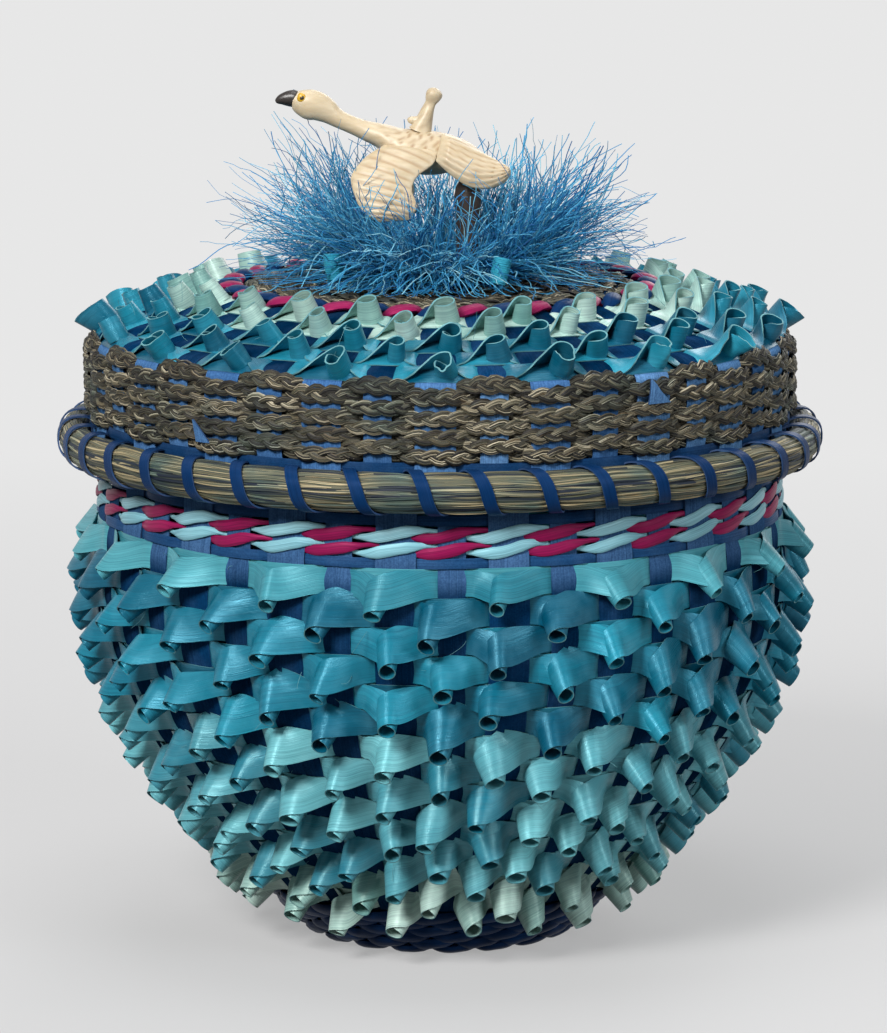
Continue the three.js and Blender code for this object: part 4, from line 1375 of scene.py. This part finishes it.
def fibres(builder, tuft, longest):
    """Kinked fibres that spring in locks from a ring round the perch."""
    rng = builder.rng
    count, steps = tuft.count, 20
    locks = count // 9
    lock = rng.integers(0, locks, count)
    facing = np.radians(tuft.facing + rng.uniform(-47, 47, locks))[lock] + rng.normal(0, 0.05, count)
    low, high = tuft.rises
    rise = np.radians(low + (high - low) * rng.beta(1.2, 1.3, locks))[lock] + rng.normal(0, 0.07, count)
    length = longest * tuft.length * (rng.beta(5, 1.7, locks)[lock] * rng.uniform(0.62, 1.08, count))
    spread = facing + rng.normal(0, 0.2, locks)[lock] + rng.normal(0, 0.06, count)
    way = np.stack([np.cos(rise) * np.cos(spread), np.cos(rise) * np.sin(spread), np.sin(rise)], -1)
    sway = rng.normal(0, 0.028, (locks, 1, 3))[lock] * np.arange(steps)[:, None] ** 1.1 * 0.5
    bends = rng.normal(0, 0.07, (count, steps, 3))
    kinks = rng.normal(0, 0.34, (count, steps, 3)) * (rng.random((count, steps, 1)) < 0.1)
    beat = np.cos(np.arange(steps) * rng.uniform(1.0, 2.4, (count, 1)) + rng.uniform(0, 6, (count, 1)))
    waves = beat[..., None] * rng.normal(0, 0.16, (count, 1, 3))
    settle = np.zeros((count, steps, 3))
    settle[..., 2] = -tuft.droop * np.cos(rise)[:, None]
    drift = np.cumsum(bends + kinks + settle, 1) * np.linspace(0.4, 1, steps)[:, None]
    ways = unit(way[:, None] + sway + waves + drift)
    ring = rng.uniform(*FRINGE_RING, count) * MM
    start = round_place(facing, ring, (FRINGE_FOOT + 2.6 * rng.random(count)) * MM)
    centre = start[:, None] + np.cumsum(ways, 1) * (length / steps)[:, None, None]
    centre = np.concatenate([start[:, None], centre], 1)
    centre[..., 2] = np.maximum(centre[..., 2], FIBRE_FLOOR + 0.1 * (centre[..., 2] - FIBRE_FLOOR))
    normal = np.array([0.3, -0.4, 0.86])
    half = (rng.uniform(0.15, 0.26, count) * MM)[:, None] * np.linspace(1, 0.55, steps + 1)
    tone = np.clip(rng.random(locks)[lock] * 0.6 + rng.random(count) * 0.4, 0, 1)
    builder.strands(centre, normal, half, half * 0.6, 4, tone=tone)


def coil(builder, foot, way, radius, length, turns, thread):
    """Thread wound round a tuft."""
    way = unit(way)
    side = unit(np.cross(way, (0, 1, 0)))
    up = np.cross(side, way)
    share = np.linspace(0, 1, turns * 14)
    turn = share * turns * 2 * math.pi
    swell = radius * (1 + 0.18 * np.sin(share * math.pi) + 0.25 * share)
    spoke = np.cos(turn)[:, None] * side + np.sin(turn)[:, None] * up
    centre = np.array(foot) + share[:, None] * way * length + spoke * swell[:, None]
    builder.strands(centre[None], spoke[None], thread, thread, 6, finish=1)


class BASKET_OT_fringe(bpy.types.Operator):
    """Build the four tufts of fibres and their ties."""

    bl_idname = "basket.fringe"
    bl_label = "Fringe"

    def execute(self, context):
        longest = context.scene.basket_sizes.fibre_length
        for index, (name, tuft) in enumerate(TUFTS.items()):
            builder = Builder(f"fringe_{name}", 600 + index)
            fibres(builder, tuft, longest)
            angle = np.radians(tuft.facing + np.linspace(-46, 46, 40))
            for _ in range(CORE_THREADS):
                clock = builder.rng.uniform(0, 2 * math.pi) + ripple(builder.rng, angle, (3, 5, 9), 0.7)
                radius = CORE_RADIUS + CORE_HALF[0] * np.cos(clock)
                centre = round_place(angle, radius, CORE_HEIGHT + CORE_HALF[1] * np.sin(clock))
                builder.strands(centre[None], UP, 0.3 * MM, 0.22 * MM, 5)
            if name in TIES:
                coil(builder, *TIES[name], **TIE)
            builder.build("lid", ["fringe", "tie"], f"fringe_{name}")
        return {"FINISHED"}


# The carving


def smooth_path(rows, steps):
    """A smooth curve through rows of numbers, sampled evenly from the first to the last."""
    rows = np.array(rows, dtype=float)
    padded = np.concatenate([2 * rows[:1] - rows[1:2], rows, 2 * rows[-1:] - rows[-2:-1]])
    place = np.linspace(0, len(rows) - 1, steps)
    index = np.minimum(place.astype(int), len(rows) - 2)
    u = (place - index)[:, None]
    a, b, c, d = (padded[index + k] for k in range(4))
    return 0.5 * (2 * b + (c - a) * u + (2 * a - 5 * b + 4 * c - d) * u**2 + (3 * b - a - 3 * c + d) * u**3)


def oval_loft(builder, stations, steps, sides, relief=None, finish=0, shift=0.0):
    """A body of oval sections on a path in the plane y = shift.

    Stations are x, z, half height and half width, in millimetres.
    """
    path = smooth_path(stations, steps) * MM
    forward = unit(np.gradient(path[:, :2], axis=0))
    way = np.sign(forward[len(path) // 2, 0])
    up = np.stack([forward[:, 1], -forward[:, 0]], 1) * -way
    turn = circle(sides)
    painted_shade = np.zeros((steps, sides))
    depth = 0.0
    if relief:
        depth, painted_shade = relief(path[:, 0][:, None], turn[None, :])
    height = np.cos(turn) * (path[:, 2, None] - depth)
    rings = np.stack(
        [
            path[:, 0, None] + up[:, 0, None] * height,
            way * np.sin(turn) * (path[:, 3, None] - depth) + shift,
            path[:, 1, None] + up[:, 1, None] * height,
        ],
        -1,
    )
    builder.skin(rings, np.broadcast_to(painted_shade, (steps, sides)), finish)


SWAN_STATIONS = [
    (12.6, 192.6, 0.4, 0.9),
    (10.6, 193.5, 1.1, 2.4),
    (6.5, 195.1, 3.0, 4.6),
    (1.5, 195.2, 4.9, 6.2),
    (-4.0, 195.4, 5.5, 6.7),
    (-9.5, 196.7, 4.9, 6.0),
    (-14.0, 199.3, 3.2, 4.2),
    (-18.0, 200.7, 2.5, 2.9),
    (-21.0, 201.9, 2.2, 2.3),
    (-24.0, 203.2, 2.2, 2.2),
    (-26.0, 204.3, 2.45, 2.3),
    (-28.0, 205.7, 3.1, 2.6),
    (-30.2, 206.8, 3.6, 2.8),
    (-32.4, 207.3, 3.75, 2.75),
    (-34.4, 207.9, 3.1, 2.4),
    (-35.9, 208.4, 2.2, 1.9),
    (-36.6, 208.5, 1.6, 1.5),
]
BEAK_STATIONS = [
    (-35.2, 208.6, 2.0, 1.75),
    (-36.0, 208.7, 2.15, 1.8),
    (-37.4, 208.7, 1.95, 1.55),
    (-39.0, 208.5, 1.4, 1.2),
    (-40.1, 208.1, 0.8, 0.8),
    (-40.5, 207.9, 0.35, 0.4),
]
EYE_STATIONS = [
    (-35.2, 208.9, 0.2, 0.2),
    (-34.9, 208.9, 0.9, 0.6),
    (-34.1, 209.0, 1.35, 0.8),
    (-33.3, 209.1, 0.9, 0.6),
    (-33.0, 209.1, 0.2, 0.2),
]
PUPIL_STATIONS = [
    (-34.35, 208.6, 0.1, 0.1),
    (-34.15, 208.9, 0.42, 0.4),
    (-33.8, 209.2, 0.42, 0.4),
    (-33.6, 209.6, 0.1, 0.1),
]


def back_feathers(place, turn):
    """Shallow scales on the back of the swan: how deep they are cut, and how much painted shade darkens their
    grooves.
    """
    back = np.clip((place + 17 * MM) / (6 * MM), 0, 1) * np.clip(np.cos(turn) + 0.8, 0, 1)
    row = place / (3.2 * MM)
    scale = np.abs(np.sin(math.pi * row + 1.1 * np.sin(turn * 7)))
    groove = np.clip(1 - scale * 1.6, 0, 1) * back
    return groove * 0.26 * MM, groove


def wing(builder, leading, trailing, thickness, bulge, feathers, sweep, rows, flip=1):
    """A carved wing between its leading and trailing edges, with rows of feathers cut into its outer face."""
    spans, chords = 90, 30
    lead = smooth_path(leading, spans) * MM
    trail = smooth_path(trailing, spans) * MM
    chord = trail - lead
    along = np.gradient((lead + trail) / 2, axis=0)
    normal = unit(np.cross(along, chord)) * flip
    share = (1 - np.cos(np.linspace(0, math.pi, chords))) / 2
    span = np.linspace(0, 1, spans)[:, None]
    plump = np.minimum(1, np.minimum(span, 1 - span) * 9 + 0.03) ** 0.5
    edge = (4 * share * (1 - share)) ** 0.4
    band = span * feathers - share * sweep
    step = np.floor(share * rows)
    saw = (band + 0.5 * step) % 1
    inside = np.clip(edge * 1.6 - 0.35, 0, 1) * np.clip(plump * 1.3 - 0.3, 0, 1)
    fade = np.clip(span / 0.1, 0, 1)
    groove = np.exp(-((np.minimum(saw, 1 - saw) / 0.17) ** 2)) * inside * fade
    ridge = (0.5 - np.abs(saw - 0.5)) * inside * fade
    seam = np.zeros_like(share)
    for edge_share in np.arange(1, rows) / rows:
        seam = np.maximum(seam, np.exp(-(((share - edge_share) / 0.03) ** 2)))
    cut = groove * 0.28 * MM - ridge * 0.2 * MM + seam * 0.12 * MM * inside
    body = lead[:, None] + chord[:, None] * share[:, None]
    lift = bulge * 4 * share * (1 - share) * plump
    half = thickness / 2 * edge * plump
    outer = body + normal[:, None] * (lift + half - cut)[..., None]
    inner = body + normal[:, None] * (lift - half)[..., None]
    rings = np.concatenate([outer, inner[:, -2:0:-1]], 1)
    # Painted shade in the feather grooves and along the seams between the rows.
    painted_shade = np.concatenate([groove * 0.62 + seam * inside * 0.3, np.zeros((spans, chords - 2))], 1)
    if flip < 0:
        rings, painted_shade = rings[:, ::-1], painted_shade[:, ::-1]
    builder.skin(rings, np.clip(painted_shade, 0, 1))


NEAR_WING = (
    [(-13.5, -4.0, 197.8), (-18.6, -7.5, 194.6), (-21.7, -11.0, 190.6),
     (-20.9, -13.5, 186.2), (-18.6, -15.2, 182.0), (-14.6, -15.8, 179.8)],
    [(-0.5, -5.5, 196.6), (-1.6, -8.0, 193.4), (-5.6, -10.5, 190.4),
     (-6.8, -12.8, 187.2), (-5.4, -14.6, 183.6), (-7.6, -15.6, 180.4)],
)
TAIL_WING = (
    [(0.5, -3.6, 200.4), (4.5, -4.1, 199.0), (9.0, -4.9, 196.7), (13.0, -5.7, 194.6), (16.0, -6.4, 193.0),
     (17.5, -7.0, 191.5)],
    [(-1.0, -7.5, 194.0), (3.0, -8.6, 190.4), (7.5, -9.3, 187.8), (12.0, -9.2, 187.4), (15.6, -8.6, 188.6),
     (17.4, -7.6, 190.5)],
)


def mirrored(points):
    """The points of a slightly narrower wing on the far side of the swan."""
    return [(-8 + (x + 8) * 0.66, -y, z + 0.8) for x, y, z in points]


class BASKET_OT_swan(bpy.types.Operator):
    """Build the carved swan."""

    bl_idname = "basket.swan"
    bl_label = "Swan"

    def execute(self, context):
        builder = Builder("carved_swan", 700)
        oval_loft(builder, SWAN_STATIONS, 110, 40, back_feathers)
        wing(builder, *NEAR_WING, 1.9 * MM, 0.9 * MM, 11, 2.4, 1)
        wing(builder, *map(mirrored, NEAR_WING), 1.9 * MM, 0.9 * MM, 11, 2.4, 1, flip=-1)
        wing(builder, *TAIL_WING, 2.3 * MM, 1.5 * MM, 2.0, -6.5, 1, flip=-1)
        oval_loft(builder, BEAK_STATIONS, 26, 24, finish=1)
        for side in (-1, 1):
            oval_loft(builder, EYE_STATIONS, 18, 16, finish=2, shift=side * 1.85 * MM)
            oval_loft(builder, PUPIL_STATIONS, 12, 10, finish=1, shift=side * 2.45 * MM)
        builder.build("lid", ["bone", "beak", "eye"], "swan_carving", sharp=70)
        return {"FINISHED"}


class BASKET_OT_peg(bpy.types.Operator):
    """Build the small carved peg on the swan."""

    bl_idname = "basket.peg"
    bl_label = "Peg"

    def execute(self, context):
        builder = Builder("carved_peg", 710)
        profile = smooth_path(
            [(0, 2.9), (0.1, 2.5), (0.25, 2.1), (0.42, 1.75), (0.56, 1.45), (0.66, 1.35),
             (0.75, 1.75), (0.85, 2.05), (0.93, 1.75), (0.985, 0.8), (1.0, 0.2)],
            60,
        )
        foot, top = np.array([-4.9, 0, 200.6]), np.array([-0.9, 0, 211.3])
        turn = circle(28)
        side = np.cross([0, 1, 0], unit(top - foot))
        lumps = 1 + 0.05 * np.sin(3 * turn + profile[:, 0, None] * 9)
        rings = (
            foot
            + (top - foot) * profile[:, 0, None, None]
            + (side * np.cos(turn)[:, None] - np.array([0, 1, 0]) * np.sin(turn)[:, None])
            * (profile[:, 1, None] * lumps)[..., None]
        ) * MM
        shade = 0.25 * np.abs(np.sin(profile[:, 0, None] * 11 + turn * 2)) ** 6
        builder.skin(rings, shade)
        lump = [(-8.0, 203.7, 0.25, 0.3), (-7.4, 203.5, 0.85, 0.8), (-6.4, 203.3, 1.0, 0.9),
                (-5.0, 203.2, 1.3, 1.2), (-3.6, 203.4, 0.4, 0.4)]
        oval_loft(builder, lump, 24, 16)
        builder.build("lid", ["bone"], "carved_peg", sharp=70)
        return {"FINISHED"}


class BASKET_OT_post(bpy.types.Operator):
    """Build the post under the swan."""

    bl_idname = "basket.post"
    bl_label = "Perch"

    def execute(self, context):
        builder = Builder("perch_post", 720)
        profile = smooth_path(
            [(164.9, 4.6), (167, 4.0), (170, 3.2), (175, 3.0),
             (180, 3.1), (184, 3.3), (187, 2.9), (189.4, 1.4)],
            50,
        )
        turn = circle(32)
        height = profile[:, 0, None]
        bark = 1 + 0.05 * np.sin(5 * turn + height * 0.3) + 0.03 * np.sin(11 * turn - height)
        radius = profile[:, 1, None] * bark
        rings = np.stack(
            [
                7 + radius * np.cos(turn),
                -0.6 - radius * np.sin(turn),
                np.broadcast_to(height, radius.shape),
            ],
            -1,
        ) * MM
        builder.skin(rings, np.zeros(radius.shape))
        builder.build("lid", ["wood"], "perch_post")
        return {"FINISHED"}


# The stage


def mesh_sheet(name, size, height, material):
    """A large flat sheet round the origin."""
    steps = np.linspace(-size / 2, size / 2, 5)
    x, y = np.meshgrid(steps, steps, indexing="ij")
    points = np.stack([x, y, np.full_like(x, height)], -1).reshape(-1, 3)
    index = np.arange(25).reshape(5, 5)
    faces = np.stack([index[:-1, :-1], index[1:, :-1], index[1:, 1:], index[:-1, 1:]], -1).reshape(-1, 4)
    mesh = bpy.data.meshes.new(name)
    mesh.from_pydata(points.tolist(), [], faces.tolist())
    mesh.materials.append(material)
    sheet = bpy.data.objects.new(name, mesh)
    bpy.context.scene.collection.objects.link(sheet)
    return sheet


def aimed(item, place, target):
    """Puts an object at a place and turns its -Z axis to a target."""
    item.location = place
    item.rotation_euler = (Vector(target) - Vector(place)).to_track_quat("-Z", "Y").to_euler()


def soft_light(name, place, size, power, colour):
    """A large square lamp aimed at the middle of the basket."""
    lamp = bpy.data.lights.new(name, "AREA")
    lamp.size = size
    lamp.energy = power
    lamp.color = colour
    item = bpy.data.objects.new(name, lamp)
    bpy.context.scene.collection.objects.link(item)
    aimed(item, place, (0, 0, 0.1))
    return item


def clear_view(tree):
    """1 for rays that look straight, by gloss or through glass, and 0 for rays that only carry light."""
    path = tree.nodes.new("ShaderNodeLightPath")
    seen_by = path.outputs["Is Camera Ray"]
    for name in ("Is Glossy Ray", "Is Transmission Ray"):
        larger = tree.nodes.new("ShaderNodeMath")
        larger.operation = "MAXIMUM"
        tree.links.new(seen_by, larger.inputs[0])
        tree.links.new(path.outputs[name], larger.inputs[1])
        seen_by = larger.outputs[0]
    return seen_by


def floor_material(look):
    """A pale floor that keeps the shadow of the basket and fades into the backdrop away from it."""
    shader = Shader("floor")
    noise = shader.patches(3, 2)
    colour = (*look.floor_colour, 1)
    shade = shader.mixed(noise, darker(colour, 0.985), colour)
    clear = clear_view(shader.tree)
    shader.finish(shader.mixed(clear, (0.12, 0.12, 0.12, 1), shade), 0.85)
    glow = shader.node("ShaderNodeEmission", {"Color": (1, 1, 1, 1), "Strength": look.backdrop})
    place = shader.node("ShaderNodeTexCoord")
    away = shader.node("ShaderNodeVectorMath", {0: place.outputs["Object"]}, operation="LENGTH")
    share = shader.remapped(away.outputs["Value"], 0.12, 0.75, 0.45, 1.0)
    fade = shader.node("ShaderNodeMath", {0: share, 1: clear}, operation="MULTIPLY")
    both = shader.node("ShaderNodeMixShader", {0: fade.outputs[0]})
    shader.tree.links.new(shader.surface.outputs[0], both.inputs[1])
    shader.tree.links.new(glow.outputs[0], both.inputs[2])
    shader.tree.links.new(both.outputs[0], shader.tree.nodes["Material Output"].inputs["Surface"])
    return shader.material


def place_camera(scene):
    """Adds the camera in front of the basket and a little above it, and makes it the scene's own."""
    camera = bpy.data.cameras.new("camera")
    camera.lens = CAMERA_LENS
    camera.sensor_width = 36
    item = bpy.data.objects.new("camera", camera)
    scene.collection.objects.link(item)
    x, y, z = CAMERA_TARGET
    place = (x, y - CAMERA_DISTANCE * math.cos(CAMERA_RISE), z + CAMERA_DISTANCE * math.sin(CAMERA_RISE))
    aimed(item, place, CAMERA_TARGET)
    scene.camera = item


class BASKET_OT_stage(bpy.types.Operator):
    """Build the floor, the surroundings and the lights, and place the camera."""

    bl_idname = "basket.stage"
    bl_label = "Stage"

    def execute(self, context):
        look = context.scene.basket_light
        floor = mesh_sheet("floor", 40, 0, floor_material(look))

        world = bpy.data.worlds.new("studio")
        world.use_nodes = True
        context.scene.world = world
        tree = world.node_tree
        background = tree.nodes["Background"]
        strength = tree.nodes.new("ShaderNodeMapRange")
        tree.links.new(clear_view(tree), strength.inputs["Value"])
        strength.inputs["To Min"].default_value = look.fill
        strength.inputs["To Max"].default_value = look.backdrop
        tree.links.new(strength.outputs[0], background.inputs["Strength"])
        background.inputs["Color"].default_value = (1, 1, 1, 1)

        lights = [
            soft_light("key", (-0.65, -1.25, 1.1), 0.5, 34, (1.0, 0.985, 0.96)),
            soft_light("fill", (1.2, -1.0, 0.8), 0.6, 10, (0.97, 0.99, 1.0)),
            soft_light("top", (0.0, -0.1, 1.6), 0.7, 8, (1.0, 1.0, 1.0)),
            soft_light("rim", (0.5, 1.2, 0.9), 0.9, 9, (1.0, 1.0, 1.0)),
        ]
        place_camera(context.scene)
        context.scene.view_settings.view_transform = "Standard"
        return {"FINISHED"}


OPERATORS = [
    BASKET_OT_materials,
    BASKET_OT_body_stakes,
    BASKET_OT_body_curls,
    BASKET_OT_neck,
    BASKET_OT_foot,
    BASKET_OT_base,
    BASKET_OT_collar,
    BASKET_OT_lid_stakes,
    BASKET_OT_lid_curls,
    BASKET_OT_lid_ring,
    BASKET_OT_lid_side,
    BASKET_OT_hoop,
    BASKET_OT_lashing,
    BASKET_OT_fringe,
    BASKET_OT_swan,
    BASKET_OT_peg,
    BASKET_OT_post,
    BASKET_OT_stage,
]


class BASKET_PT_panel(bpy.types.Panel):
    """The steps that build the basket, with their sizes."""

    bl_label = "Basket"
    bl_idname = "BASKET_PT_panel"
    bl_space_type = "VIEW_3D"
    bl_region_type = "UI"
    bl_category = "Basket"

    def draw(self, context):
        for group in (context.scene.basket_sizes, context.scene.basket_light):
            box = self.layout.box()
            for key in group.bl_rna.properties.keys():
                if key not in ("rna_type", "name"):
                    box.prop(group, key)
        for item in OPERATORS:
            self.layout.operator(item.bl_idname)


CLASSES = [BasketSizes, BasketLight, *OPERATORS, BASKET_PT_panel]


def register():
    for item in CLASSES:
        bpy.utils.register_class(item)
    bpy.types.Scene.basket_sizes = bpy.props.PointerProperty(type=BasketSizes)
    bpy.types.Scene.basket_light = bpy.props.PointerProperty(type=BasketLight)


def unregister():
    del bpy.types.Scene.basket_light
    del bpy.types.Scene.basket_sizes
    for item in reversed(CLASSES):
        bpy.utils.unregister_class(item)


def main():
    register()
    for item in OPERATORS:
        group, key = item.bl_idname.split(".")
        getattr(getattr(bpy.ops, group), key)()


if __name__ == "__main__":
    main()
